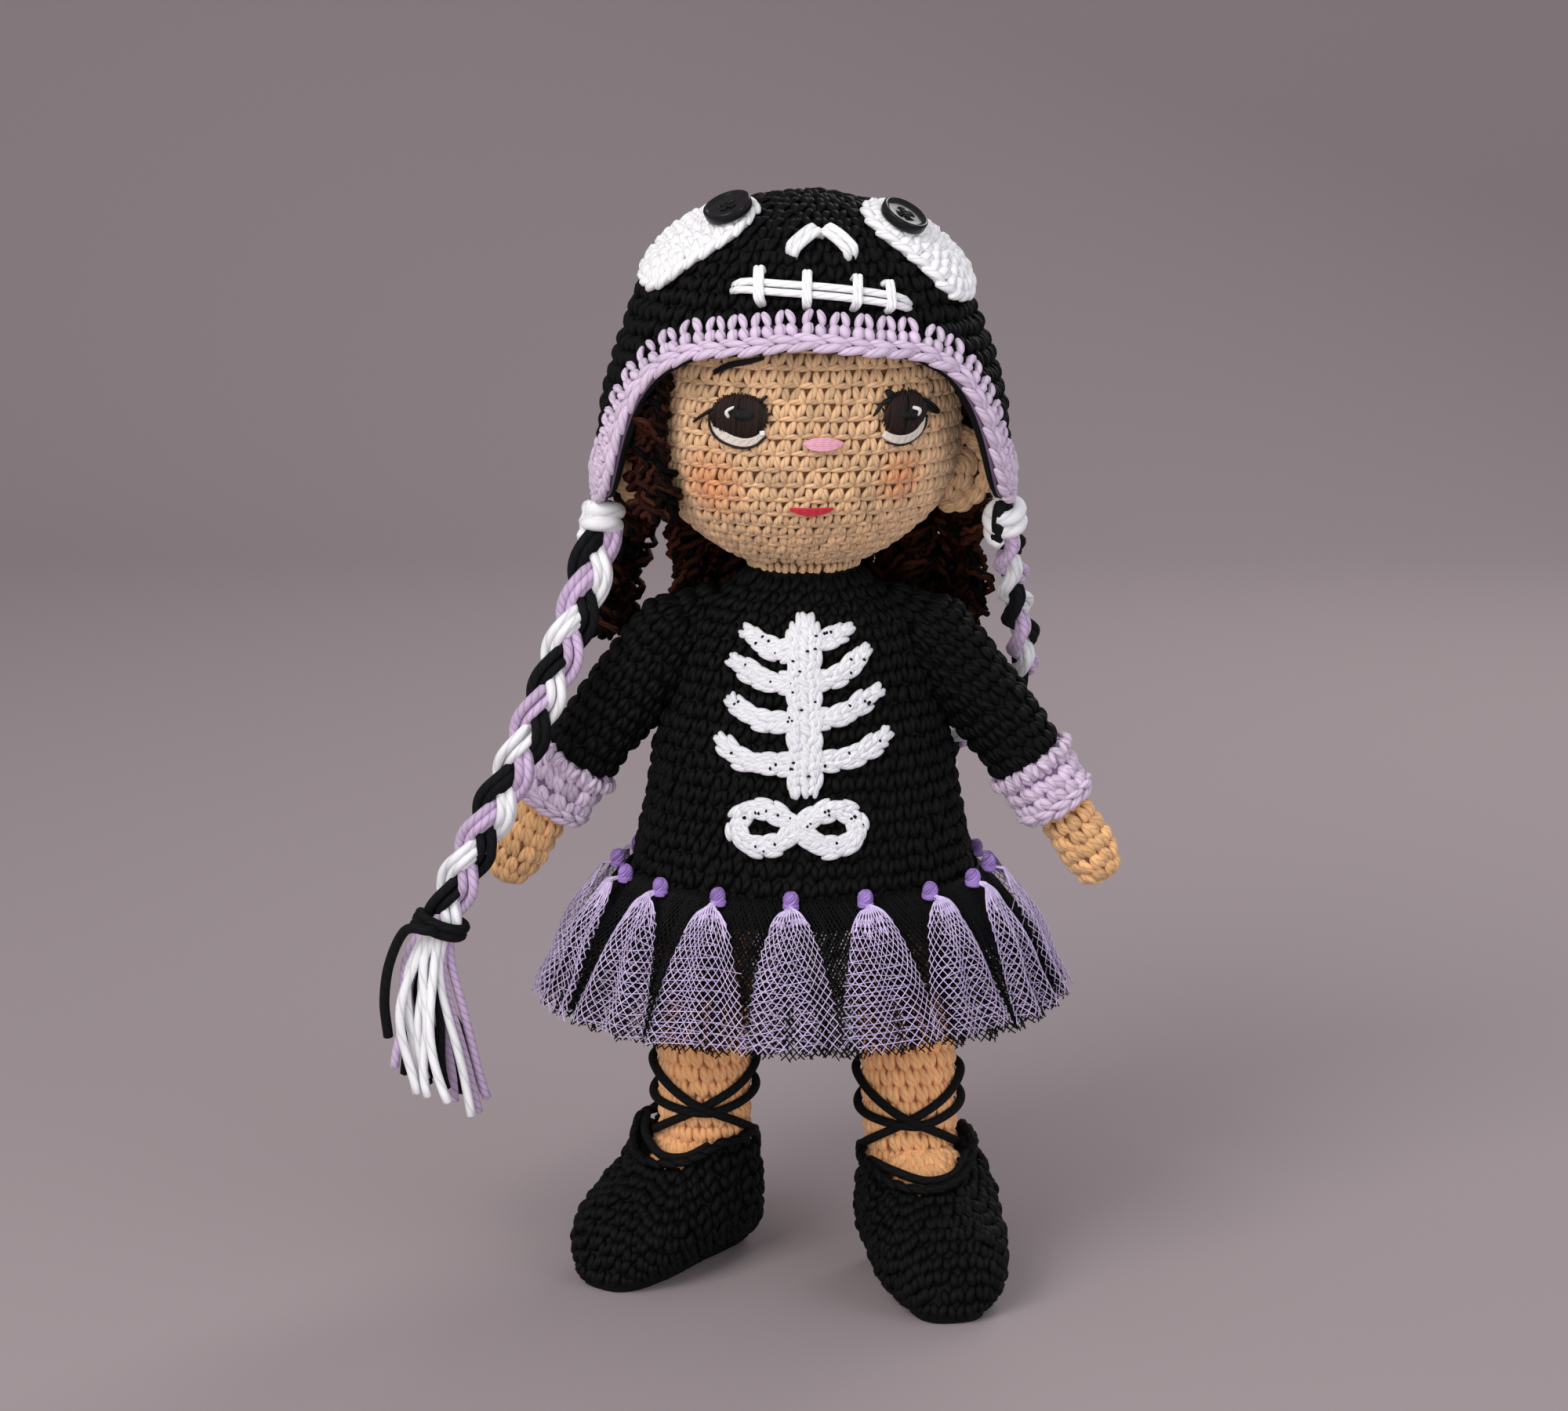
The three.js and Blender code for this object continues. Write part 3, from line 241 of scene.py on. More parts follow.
streak = maths(twist, "MULTIPLY", uneven, twist_in.outputs["Fibre"])
link(twist, maths(twist, "ADD", maths(twist, "POWER", bump_round, 0.5), streak), twist_out.inputs["Height"])
link(twist, painted_groove_shade, twist_out.inputs["Painted groove shade"])
link(twist, streak, twist_out.inputs["Streak"])


def tinted(tree, share, color, by):
    """Multiply a colour by another, as far as share says, and make that the material's colour."""
    mix = tree.nodes.new("ShaderNodeMix")
    mix.data_type = "RGBA"
    mix.blend_type = "MULTIPLY"
    for label, value in (("Factor", share), ("A", color), ("B", by)):
        link(tree, value, mix.inputs[label])
    tree.links.new(mix.outputs["Result"], tree.nodes["Principled BSDF"].inputs["Base Color"])


def yarn_material(name, color, plies=3, twists=300, depth=0.00022, dark=0.5, spread=0.25, roughness=0.85,
                  sheen=0.35, fuzz=0.35, fibre=1.0, specular=0.25):
    """Cotton or wool yarn: its colour darkens with painted shade in the twist's grooves, and varies from
    stitch to stitch.
    """
    material = bpy.data.materials.new(name)
    material.use_nodes = True
    tree = material.node_tree
    shader = tree.nodes["Principled BSDF"]
    group = tree.nodes.new("ShaderNodeGroup")
    group.node_tree = twist
    for label, value in (("Plies", plies), ("Twists per metre", twists), ("Fibre", fibre)):
        group.inputs[label].default_value = value
    tone = tree.nodes.new("ShaderNodeAttribute")
    tone.attribute_name = "tone"
    place = tree.nodes.new("ShaderNodeTexCoord")
    patchy = tree.nodes.new("ShaderNodeTexNoise")
    patchy.inputs["Scale"].default_value = 90
    patchy.inputs["Detail"].default_value = 4
    tree.links.new(place.outputs["Object"], patchy.inputs["Vector"])
    lightness = maths(tree, "ADD", 1.0, maths(tree, "MULTIPLY", tone.outputs["Fac"], spread))
    lightness = maths(tree, "ADD", lightness, maths(tree, "MULTIPLY", group.outputs["Streak"], fuzz))
    uneven = maths(tree, "MULTIPLY", maths(tree, "SUBTRACT", patchy.outputs["Fac"], 0.5), 0.25)
    lightness = maths(tree, "ADD", lightness, uneven)
    # Painted shade: the colour darkens in the twist's grooves, as far as dark says.
    shade = maths(tree, "SUBTRACT", 1.0, maths(tree, "MULTIPLY", group.outputs["Painted groove shade"], dark))
    lightness = maths(tree, "MULTIPLY", lightness, shade)
    grey = tree.nodes.new("ShaderNodeCombineColor")
    for k in range(3):
        tree.links.new(lightness, grey.inputs[k])
    tinted(tree, 1.0, (*color, 1), grey.outputs[0])
    bump = tree.nodes.new("ShaderNodeBump")
    bump.inputs["Strength"].default_value = 0.8
    bump.inputs["Distance"].default_value = depth
    tree.links.new(group.outputs["Height"], bump.inputs["Height"])
    tree.links.new(bump.outputs["Normal"], shader.inputs["Normal"])
    for label, value in (("Roughness", roughness), ("Sheen Weight", sheen), ("Sheen Roughness", 0.4),
                         ("Specular IOR Level", specular)):
        shader.inputs[label].default_value = value
    return material


white_cord = yarn_material("white cotton cord", cord_white, plies=2, twists=120, dark=0.25, spread=0.06,
                           fuzz=0.12)
lilac_cord = yarn_material("lilac cotton cord", cord_lilac, twists=420, dark=0.35, spread=0.12, fuzz=0.2)
black_cord = yarn_material("black cotton cord", cord_black, dark=0.5, spread=0.3, fuzz=0.6, sheen=0.0,
                           specular=0.15)
cord_materials = [white_cord, lilac_cord, black_cord]

braid_pitch = 0.033
strand_reach = 0.0033
strand_depth = 0.0017
cord_radius = 0.00125
cords_in_strand = 4
braid_routes = {
    "right": [
        [-51.6, -6, 203.2], [-51.9, -6.4, 198.6], [-53.6, -9, 191], [-55.6, -11.5, 183], [-58.2, -14, 174.5],
        [-61.6, -16.5, 166], [-65.4, -18.8, 157.5], [-69, -20.2, 149.5], [-72.4, -21, 141.5],
        [-76, -21.3, 133.5], [-79.8, -21.4, 125.5], [-83.6, -21.4, 117.5], [-87.6, -21.3, 109.5],
        [-91.4, -21.2, 101.5], [-94.6, -21, 94],
    ],
    "left": [
        [51.6, -4.6, 203.2], [51.9, -4.3, 198.6], [53.3, 2.5, 191.5], [54.4, 8, 184.5], [55.6, 13.5, 177],
        [57.2, 18.6, 169.5], [58.8, 23, 162], [59, 27.5, 154.5], [56.6, 32.5, 147.5], [52, 37.5, 141.5],
        [46.8, 42, 136], [42, 46, 129.8], [38.4, 49, 122.8], [36, 51.6, 115.2], [34.8, 54, 107.6],
    ],
}
# The tie's long end, in millimetres from the tie: out, across and along the braid, then x, y and z.
tie_tails = {
    "right": [[6.4, 2, 0, 0, 0, 0], [8.5, 4.5, 0, 0, 0, 0], [7, 0, 0, -9.5, 0, 1], [3, 0, 0, -13.5, 0, -9],
              [1, 0, 0, -15, 0, -20], [0, 0, 0, -14.3, 1, -30.5]],
    "left": [[6.4, 0, 0, 0, 0, 0], [7.5, 0, 6, 0, 0, 0], [8.5, 0, 18, 0, 0, 0], [9.5, 0, 28, 0, 0, 0]],
}
tie_radius = 0.00135
tassel_ways = {"right": (0.25, -0.02, -0.97), "left": (-0.05, 0.72, -0.66)}
tassel_length = 0.046
tassel_cords = 21
tassel_top_radius, tassel_end_radius = 0.0042, 0.0152
tassel_flatness = {"right": 0.8, "left": 0.5}
golden_angle = 2.39996
rng = np.random.default_rng(7)


def side_frame(line, front):
    """The way ahead along a line, the way across it, and the way out that is nearest to front."""
    ahead = unit(np.gradient(line, axis=0))
    across = unit(np.cross(ahead, np.broadcast_to(front, line.shape)))
    return ahead, across, np.cross(across, ahead)


def knot_loops(centre, ahead, across, out, radius, thick, turns, slant=0.25):
    """Wraps of cord round an axis: a circle whose height rises by 1.7 times thick in each turn."""
    a = np.linspace(0, 2 * np.pi * turns, 26 * turns)
    climb = (a / (2 * np.pi) - turns / 2) * thick * 1.7 + slant * radius * np.cos(a)
    return (centre + radius * np.cos(a)[:, None] * across + radius * np.sin(a)[:, None] * out
            + climb[:, None] * ahead)


for word, front, shift in (("right", (0.25, -1, 0.1), 0.12), ("left", (0.75, -0.55, 0.3), 0.45)):
    line, along = smooth_line(np.array(braid_routes[word]) * MM, 170, True)
    ahead, across, out = side_frame(line, np.array(front))
    chunks = []
    for index in range(3):
        phase = 2 * np.pi * (along / braid_pitch + index / 3 + shift)
        swing = strand_reach * np.sin(phase)
        dive = strand_depth * np.sin(2 * phase)
        heart = line + swing[:, None] * across + dive[:, None] * out
        lean = np.cos(phase) * strand_reach * 2 * np.pi / braid_pitch
        strand_across = unit(np.cross(unit(ahead + lean[:, None] * across), out))
        paths = []
        for k in range(cords_in_strand):
            spin = 2 * np.pi * k / cords_in_strand + 0.35 * np.sin(phase / 2 + k) + 0.6
            paths.append(heart + (1.45 * np.cos(spin) * cord_radius)[:, None] * strand_across
                         + (0.75 * np.sin(spin) * cord_radius)[:, None] * out)
        tones = rng.uniform(-1, 1, cords_in_strand)
        chunks.append(cord_chunk(paths, cord_radius, sides=9, tone=tones, slot=index, up=out[None]))
    # The knot at the flap's tip is two wraps of white cord.
    knot = knot_loops(line[6], ahead[6], across[6], out[6], radius=0.0038, thick=0.0022, turns=2)
    chunks.append(cord_chunk([knot], radii=0.0021, sides=10, tone=[0.3], slot=0, up=ahead[6]))
    braid = piece_mesh("braid_cords_" + word, chunks, cord_materials, "hat", "braid_" + word)

    # The tie: two wraps of black cord, with one end left long.
    end, side, lift = line[-1], across[-1], out[-1]
    last = unit(line[-1] - line[-2])
    ring_at = end - last * 0.0016
    wrap = knot_loops(ring_at, last, side, lift, radius=0.0062, thick=0.0013, turns=2, slant=0.1)
    ways = np.vstack([lift, side, last, np.eye(3)])
    tail = smooth_line(ring_at + np.array(tie_tails[word]) * MM @ ways, 40)
    tie = piece_mesh(
        "tie_cord_" + word,
        [cord_chunk([wrap], tie_radius, sides=9, tone=[0.0], slot=0, up=last),
         cord_chunk([tail], tie_radius, sides=9, tone=[0.2])],
        [black_cord], "hat", "tie_" + word,
    )

    # The tassel: the three strands' cords, opened out below the tie and cut level.
    number = np.arange(tassel_cords)
    spot = np.sqrt((number + 0.5) / tassel_cords)
    angle = number * golden_angle
    steps = np.linspace(0, 1, 26)
    start = end + last * 0.0007
    bend = start + last * tassel_length * 0.35
    tip = bend + unit(np.array(tassel_ways[word])) * tassel_length * 0.65
    core = np.stack([(1 - steps) ** 2, 2 * steps * (1 - steps), steps**2], 1) @ [start, bend, tip]
    open_out = tassel_top_radius + (tassel_end_radius - tassel_top_radius) * steps**1.1
    paths = []
    for k in number:
        reach = open_out * spot[k]
        waver = 0.0021 * np.sin(steps * rng.uniform(4, 9) + rng.uniform(0, 6)) * steps**0.8
        paths.append(core[0] + (core - core[0]) * rng.uniform(0.90, 1.03)
                     + (reach * np.cos(angle[k]) + waver)[:, None] * side
                     + (tassel_flatness[word] * reach * np.sin(angle[k]))[:, None] * lift)
    dark = (spot * np.sin(angle) < 0.1) & (number % 2 == 0) | (number % 9 == 6)
    picks = np.where(number % 4 == 1, 1, np.where(dark, 2, 0))
    chunks = []
    for k in range(3):
        chosen = np.array(paths)[picks == k]
        chunks.append(cord_chunk(chosen, radii=0.00122, sides=9, tone=rng.uniform(-1, 1, len(chosen)),
                                 slot=k, up=lift))
    tassel = piece_mesh("tassel_cords_" + word, chunks, cord_materials, "hat", "tassel_" + word)


# The floor and backdrop: one wide sheet of pale matte paper. It lies under the doll and curves up behind it
# without an edge.
floor_color = (0.352, 0.296, 0.312)
floor_front, floor_depth, floor_width, wall_height, curve_radius = -3.0, 1.1, 6.0, 2.6, 0.6
a = np.linspace(0, math.pi / 2, 14)
wall_y = floor_depth + curve_radius
sweep_y = np.concatenate([[floor_front], floor_depth + curve_radius * np.sin(a), [wall_y]])
sweep_z = np.concatenate([[0.0], curve_radius * (1 - np.cos(a)), [wall_height]])
sweep_x = np.array([-floor_width / 2, floor_width / 2])
grid = np.stack(np.broadcast_arrays(sweep_x[None, :], sweep_y[:, None], sweep_z[:, None]), -1).reshape(-1, 3)
rows = np.arange(len(sweep_y) - 1)[:, None] * 2
backdrop_mesh = bpy.data.meshes.new("backdrop")
backdrop_mesh.from_pydata(grid.tolist(), [], (rows + np.array([0, 1, 3, 2])).tolist())
backdrop_mesh.polygons.foreach_set("use_smooth", np.ones(len(rows), bool))
backdrop = bpy.data.objects.new("backdrop", backdrop_mesh)
bpy.context.scene.collection.objects.link(backdrop)
paper = bpy.data.materials.new("pale paper")
paper.use_nodes = True
paper_shader = paper.node_tree.nodes["Principled BSDF"]
paper_shader.inputs["Base Color"].default_value = (*floor_color, 1)
paper_shader.inputs["Roughness"].default_value = 0.9
backdrop_mesh.materials.append(paper)


# Light: a large soft key from the upper left front, a fill from the right, one lamp low in front, one high
# behind, and a pale room.
lamps = [
    ("key", (-0.75, -0.95, 1.05), 0.8, 12.5, (1.0, 0.975, 0.95)),
    ("fill", (1.1, -0.8, 0.55), 0.9, 4.2, (0.94, 0.95, 1.0)),
    ("low front", (-0.2, -1.3, 0.22), 0.7, 5.0, (1.0, 0.98, 0.96)),
    ("rim", (0.5, 0.9, 0.9), 0.6, 5.0, (1.0, 0.98, 0.96)),
]
for label, place, size, power, tint in lamps:
    lamp = bpy.data.lights.new(label, "AREA")
    lamp.size = size
    lamp.energy = power
    lamp.color = tint
    lamp_object = bpy.data.objects.new(label, lamp)
    lamp_object.location = place
    aim = np.array([0, 0, 0.15]) - np.array(place)
    yaw = math.atan2(aim[1], aim[0]) - math.pi / 2
    lamp_object.rotation_euler = (math.acos(-aim[2] / np.linalg.norm(aim)), 0, yaw)
    bpy.context.scene.collection.objects.link(lamp_object)
world = bpy.data.worlds.new("room")
world.use_nodes = True
world.node_tree.nodes["Background"].inputs["Color"].default_value = (0.95, 0.96, 1.0, 1)
world.node_tree.nodes["Background"].inputs["Strength"].default_value = 0.44
bpy.context.scene.world = world


# The head: tan cotton worked in rounds of single crochet and stuffed firmly. Each stitch shows as a V of
# two plump lobes; a base under them, coloured darker as painted shade, shows in the holes between them.
skin_color = (0.76, 0.49, 0.275)
ratio = 0.97
head_low, head_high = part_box("head")
head_shares = [
    [0.31, 0], [0.44, 0.028], [0.62, 0.078], [0.81, 0.157], [0.93, 0.247], [0.985, 0.348], [1, 0.46],
    [0.995, 0.573], [0.94, 0.708], [0.81, 0.843], [0.6, 0.933], [0.3, 0.985], [0, 1],
]


class Turned:
    """A side outline turned about Z and flattened along Y: point(turn, run, out) with turn from the front,
    run the length along the outline from the bottom, and out the distance along the outline's normal."""

    def __init__(self, shares, half_width, base, height, depth_ratio):
        profile = np.array(shares) * [half_width, height] + [0, base]
        self.line, self.runs = smooth_line(profile, 240, True)
        self.line[:, 0] = np.maximum(self.line[:, 0], 0)
        ahead = unit(np.gradient(self.line, axis=0))
        self.normal = np.stack([ahead[:, 1], -ahead[:, 0]], 1)
        self.length = self.runs[-1]
        self.ratio = depth_ratio

    def point(self, turn, run, out=0.0):
        turn, run, out = np.broadcast_arrays(turn, run, out)
        place = look_up(run, self.runs, self.line) + out[..., None] * look_up(run, self.runs, self.normal)
        w = np.maximum(place[..., 0], 0)
        return np.stack([w * np.sin(turn), -w * self.ratio * np.cos(turn), place[..., 1]], -1)

    def around(self, run):
        return 2 * np.pi * np.interp(run, self.runs, self.line[:, 0]) * (1 + self.ratio) / 2

    def run_at(self, z):
        """The run at a height."""
        return np.interp(z, self.line[:, 1], self.runs)

    def front(self, x, z, out=0.0):
        """The point of the front that a level line from the front meets at (x, z)."""
        w = np.interp(z, self.line[:, 1], self.line[:, 0])
        return self.point(np.arcsin(np.clip(x / np.maximum(w, 1e-6), -1, 1)), self.run_at(z), out)


def crochet(form, first, last, width, height, radius, seed, keep=None, lift=0.0006, sink=0.0, skew=0.10,
            wobble=1.0, spread=0.20, tall_share=1.12, bars=0.0):
    """Rounds of single crochet on a form: for each stitch two lobes, whose lines rise from the stitch's
    foot to its shoulders and bulge outwards between, and a flatter bar across its head where bars gives the
    bar's thickness as a share of the lobes'. Lengths round the form are shares of a stitch's span, and
    lengths up it are shares of a round's height. Returns a chunk for piece_mesh."""
    rng = np.random.default_rng(seed)
    count = max(1, round((last - first) / height))
    tall = (last - first) / count
    turns, runs, spans = [], [], []
    for i in range(count):
        run = first + (i + 0.5) * tall
        number = max(4, round(float(form.around(run)) / width))
        turn = (np.arange(number) + 0.5 * (i % 2) + 0.13 * i) / number * 2 * np.pi
        turns.append(turn + rng.normal(0, 0.035 * wobble, number) * 2 * np.pi / number)
        runs.append(run + rng.normal(0, 0.03 * wobble, number) * tall)
        spans.append(np.full(number, 2 * np.pi / number))
    turn, run, span = (np.concatenate(v) for v in (turns, runs, spans))
    if keep is not None:
        stays = keep(form.point(turn, run))
        turn, run, span = turn[stays], run[stays], span[stays]
    n = len(turn)
    t = np.linspace(0, 1, 7)
    profile = np.sin(np.pi * (0.10 + 0.80 * t)) ** 0.55
    paths, radii, tones, ups = [], [], [], []
    tone = rng.normal(0, 0.35, n) * wobble

    def lay(aside, rise, out, thick, uneven, tone_spread):
        turn_at = turn[:, None] + aside * span[:, None]
        run_at = np.clip(run[:, None] + rise * tall, 0, form.length)
        paths.append(form.point(turn_at, run_at, out))
        ups.append(form.point(turn_at, run_at, out + MM) - paths[-1])
        radii.append(thick * profile * (1 + rng.normal(0, uneven, (n, 1))))
        tones.append(tone + rng.normal(0, tone_spread, n))

    bulge = (np.sin(np.pi * (0.06 + 0.88 * t)) ** 0.8 - 1) * lift * 2.2 - radius * 0.9 - sink
    for sign in (-1, 1):
        aside = sign * (0.08 + spread * np.sin(t * np.pi / 2) ** 1.3) + skew * (t - 0.3)
        aside = aside + rng.normal(0, 0.03 * wobble, (n, 1))
        rise = -0.58 + tall_share * t + rng.normal(0, 0.03 * wobble, (n, 1)) + 0.03 * sign
        lay(aside, rise, bulge + rng.normal(0, 0.00008 * wobble, (n, 1)), radius, 0.05 * wobble, 0.2)
    if bars:
        aside = -0.50 + 0.98 * t + rng.normal(0, 0.05, (n, 1))
        rise = 0.44 + 0.07 * np.sin(np.pi * t) + rng.normal(0, 0.02, (n, 1))
        out = -1.35 * radius + 0.45 * radius * np.sin(np.pi * t) + rng.normal(0, 0.00006, (n, 1))
        lay(aside, rise, out, radius * bars, 0.06, 0.3)
    return cord_chunk(np.concatenate(paths), np.concatenate(radii), sides=6, tone=np.concatenate(tones),
                      up=unit(np.concatenate(ups)), flat=0.85)


def facing_out(points, quads, triangles):
    """The faces of a closed body, turned so that its volume is positive."""
    corners = np.concatenate([quads[:, [0, 1, 2]], quads[:, [0, 2, 3]], triangles])
    volume = (points[corners[:, 0]] * np.cross(points[corners[:, 1]], points[corners[:, 2]])).sum()
    return (quads[:, ::-1], triangles[:, ::-1]) if volume < 0 else (quads, triangles)


def skin_chunk(rings, slot=1, close=False):
    """A closed skin over rings of points of shape (rows, columns, 3). The ends close with poles, or the last
    row joins the first."""
    points = rings.reshape(-1, 3)
    if not close:
        points = np.concatenate([points, [rings[0].mean(0)], [rings[-1].mean(0)]])
    quads, triangles = facing_out(points, *skin_faces(*rings.shape[:2], close))
    return points, quads, triangles, np.zeros((4 * len(quads) + 3 * len(triangles), 2)), 0.0, slot


def base_chunk(form, first, last, out, columns=64, rows=40, slot=1):
    """The closed base under the stitches: a grid of turns and runs, with a pole at each end."""
    turn = 2 * np.pi * np.arange(columns) / columns
    return skin_chunk(form.point(turn[None], np.linspace(first, last, rows)[:, None], out), slot)


def holes(name, color, **look):
    """Plain cloth between stitches, coloured darker than the yarn as painted shade in the holes."""
    return yarn_material(name, color, plies=1, twists=0, dark=0.0, spread=0.0, fuzz=0.0, fibre=0.0, **look)


head_half_width, head_height = (head_high[0] - head_low[0]) / 2, head_high[2] - head_low[2]
head_form = Turned(head_shares, head_half_width, head_low[2], head_height, ratio)
skin_yarn = yarn_material("tan cotton yarn", skin_color, dark=0.32, spread=0.16, fuzz=0.25)
# Painted shade: a much darker tan than the yarn, for the shade in the holes between stitches.
skin_painted_shade = holes("tan painted shade", (0.20, 0.088, 0.036))


def blush(material, spots, color, strength):
    """Rouge brushed on: it tints the yarn inside soft-edged ellipsoids on Object coordinates."""
    tree = material.node_tree
    under = tree.nodes["Principled BSDF"].inputs["Base Color"].links[0].from_socket
    place = tree.nodes.new("ShaderNodeTexCoord")
    total = 0.0
    for centre, reach in spots:
        away = tree.nodes.new("ShaderNodeVectorMath")
        away.operation = "DISTANCE"
        away.inputs[1].default_value = centre
        tree.links.new(place.outputs["Object"], away.inputs[0])
        near = maths(tree, "SUBTRACT", 1.0, maths(tree, "DIVIDE", away.outputs["Value"], reach), clamp=True)
        soft = maths(tree, "MULTIPLY", maths(tree, "POWER", near, 0.8), strength)
        total = maths(tree, "ADD", total, soft, clamp=True)
    tinted(tree, total, under, (*color, 1))


blush(skin_yarn, [((-0.0236, -0.0305, 0.2115), 0.0115), ((0.0244, -0.0305, 0.2135), 0.0085)],
      (1.0, 0.60, 0.44), 0.85)
hair_edge_turns = np.radians([0, 45, 58, 70, 80, 125, 150, 180])
hair_edge_heights = np.array([0.251, 0.250, 0.243, 0.232, 0.2265, 0.225, 0.216, 0.215])


def from_front(turn):
    """The angle between a turn and the front, on either side."""
    return np.abs((turn + np.pi) % (2 * np.pi) - np.pi)


def turn_of(places):
    """The turn from the front of places round the head."""
    return np.arctan2(places[..., 0], -places[..., 1] / ratio)


def hair_edge(turn):
    """The height of the cap's lower edge at a turn from the front."""
    return np.interp(from_front(turn), hair_edge_turns, hair_edge_heights)


def below_hair(places):
    """Whether places on the head lie below the cap, or just under its edge."""
    return places[:, 2] < hair_edge(turn_of(places)) + 0.006


piece_mesh(
    "head_stitches",
    [crochet(head_form, 0.004, head_form.run_at(0.262), width=0.0043, height=0.00435, radius=0.00106,
             seed=11, keep=below_hair, skew=0.24, spread=0.26, tall_share=0.93, bars=0.78, wobble=1.3),
     base_chunk(head_form, 0.0, head_form.length, out=-0.0019)],
    [skin_yarn, skin_painted_shade], "root", "head",
)


# The ears: small flaps of the head's tan crochet. Each is rolled into a C round a thicker middle and sewn to
# the side of the head.
class Limb:
    """A round tube: point(turn, run, out) with turn from the front, and run along the path. A radius table
    gives the radius at shares of the path's length."""

    def __init__(self, path, radii):
        self.line, self.runs = smooth_line(path, 160, True)
        self.length = self.runs[-1]
        smooth = smooth_line(radii, 200)
        self.radius = np.interp(self.runs / self.length, smooth[:, 0], smooth[:, 1])
        _, side, self.front = side_frame(self.line, np.array([0, -1, 0]))
        self.side = -side

    def point(self, turn, run, out=0.0):
        turn, run, out = np.broadcast_arrays(turn, run, out)
        r = np.interp(run, self.runs, self.radius) + out
        centre, front, side = (look_up(run, self.runs, table) for table in (self.line, self.front, self.side))
        return centre + (r * np.cos(turn))[..., None] * front + (r * np.sin(turn))[..., None] * side

    def around(self, run):
        return 2 * np.pi * np.interp(run, self.runs, self.radius)


sides = {"right": -1, "left": 1}
# Shares of the ear's depth, of its half height forwards, and of its half height upwards.
ear_roll = np.array([(0.0, 0.1, 0.82), (0.5, 0.0, 1.0), (0.95, -0.1, 0.55), (1.0, -0.1, 0.0),
                     (0.85, -0.05, -0.5), (0.45, 0.05, -0.92), (0.0, 0.1, -0.95)])
ear_middle = np.array([(0.1, 0, 0.5), (0.45, 0, 0.1), (0.1, 0, -0.6)])
for word, side in sides.items():
    low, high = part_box("ear_" + word)
    root_x, tip_x = side * np.sort(np.abs([low[0], high[0]]))
    half = (high[2] - low[2]) / 2
    heart = [root_x, (low[1] + high[1]) / 2, (low[2] + high[2]) / 2]
    roll = ear_roll * [(tip_x - root_x) * 1.15, half, half * 0.86] + heart
    middle = ear_middle * [tip_x - root_x, 0, half] + heart
    chunks = []
    for path, radii, seed, rows in (
        (roll, [[0, 0.0024], [0.2, 0.0028], [0.5, 0.0030], [0.8, 0.0028], [1, 0.0024]], 21, 24),
        (middle, [[0, 0.0042], [0.5, 0.0056], [1, 0.0042]], 23, 16),
    ):
        form = Limb(path, radii)
        chunks.append(crochet(form, 0.0, form.length, width=0.0036, height=0.0040, radius=0.00102,
                              seed=seed + side))
        chunks.append(base_chunk(form, 0.0, form.length, out=-0.0016, columns=16, rows=rows))
    piece_mesh("ear_stitches_" + word, chunks, [skin_yarn, skin_painted_shade], "root", "ear_" + word)


# The face: embroidered in soft thread over the finished head. Iris and pupil are satin stitch, the white
# below the iris is a bundle of long stitches, and lashes and outline are single black stitches.
thread_radius = 0.00032


def thread(name, color, dark, spread, fuzz, roughness, **look):
    """Embroidery thread: two fine plies with a soft shine."""
    look = dict(plies=2, twists=500, depth=0.0001) | look
    return yarn_material(name, color, dark=dark, spread=spread, fuzz=fuzz, roughness=roughness, **look)


iris_thread = thread("dark brown thread", (0.017, 0.0075, 0.0055), dark=0.3, spread=0.9, fuzz=0.9,
                     roughness=0.5, sheen=0.0)
black_thread = thread("black thread", (0.006, 0.006, 0.007), dark=0.3, spread=0.3, fuzz=0.5,
                      roughness=0.5, sheen=0.0)
cream_thread = thread("cream thread", (0.72, 0.64, 0.56), dark=0.15, spread=0.08, fuzz=0.15,
                      roughness=0.6)
white_thread = thread("white thread", (0.88, 0.88, 0.87), dark=0.12, spread=0.04, fuzz=0.08,
                      roughness=0.6, twists=300)
pink_thread = thread("pink thread", (0.86, 0.42, 0.53), dark=0.2, spread=0.1, fuzz=0.2, roughness=0.55)
red_thread = thread("red thread", (0.60, 0.015, 0.04), dark=0.25, spread=0.15, fuzz=0.3, roughness=0.5)


def stitch_on_face(places, centre, lift, steps=14):
    """A thread's line over the head through (x, z) places, in millimetres from a centre."""
    flat = smooth_line(places, steps) * MM + centre
    arch = lift * np.sin(np.pi * np.linspace(0.04, 0.96, steps)) ** 0.6
    return head_form.front(flat[:, 0], flat[:, 1], arch)


def thread_chunk(lines, radius, slot, tone=0.4, taper=0.55, seed=0):
    """Threads laid side by side, each thinner where it goes into the cloth."""
    profile = taper + (1 - taper) * np.sin(np.pi * np.linspace(0, 1, len(lines[0]))) ** 0.5
    tones = np.random.default_rng(seed).normal(0, tone, len(lines))
    return cord_chunk(lines, radius * profile, sides=6, tone=tones, slot=slot, up=(0, -1, 0.1))


def satin(centre, middle, half, lean, curve, spacing, lift, rng):
    """Stitches side by side that fill an ellipse: each runs from its lower to its upper edge, leaning a
    little and bowed by curve."""
    lines = []
    for x in np.arange(-half[0] + spacing / 2, half[0], spacing):
        reach = half[1] * math.sqrt(max(0.0, 1 - (x / half[0]) ** 2)) + rng.normal(0, 0.18)
        bow = curve * (1 - (x / half[0]) ** 2) * math.copysign(1, x)
        places = [(x - lean, -reach), (x + bow, rng.normal(0, 0.1)), (x + lean, reach)]
        lines.append(stitch_on_face(np.array(places) + middle, centre, lift + rng.uniform(0, 0.00025),
                                    steps=9))
    return lines


def crescent(inner, outer, count, centre, lift):
    """Long stitches between two curved edges."""
    low, high = smooth_line(outer, 14), smooth_line(inner, 14)
    return [stitch_on_face(low + (high - low) * s, centre, lift) for s in np.linspace(0.06, 0.94, count)]


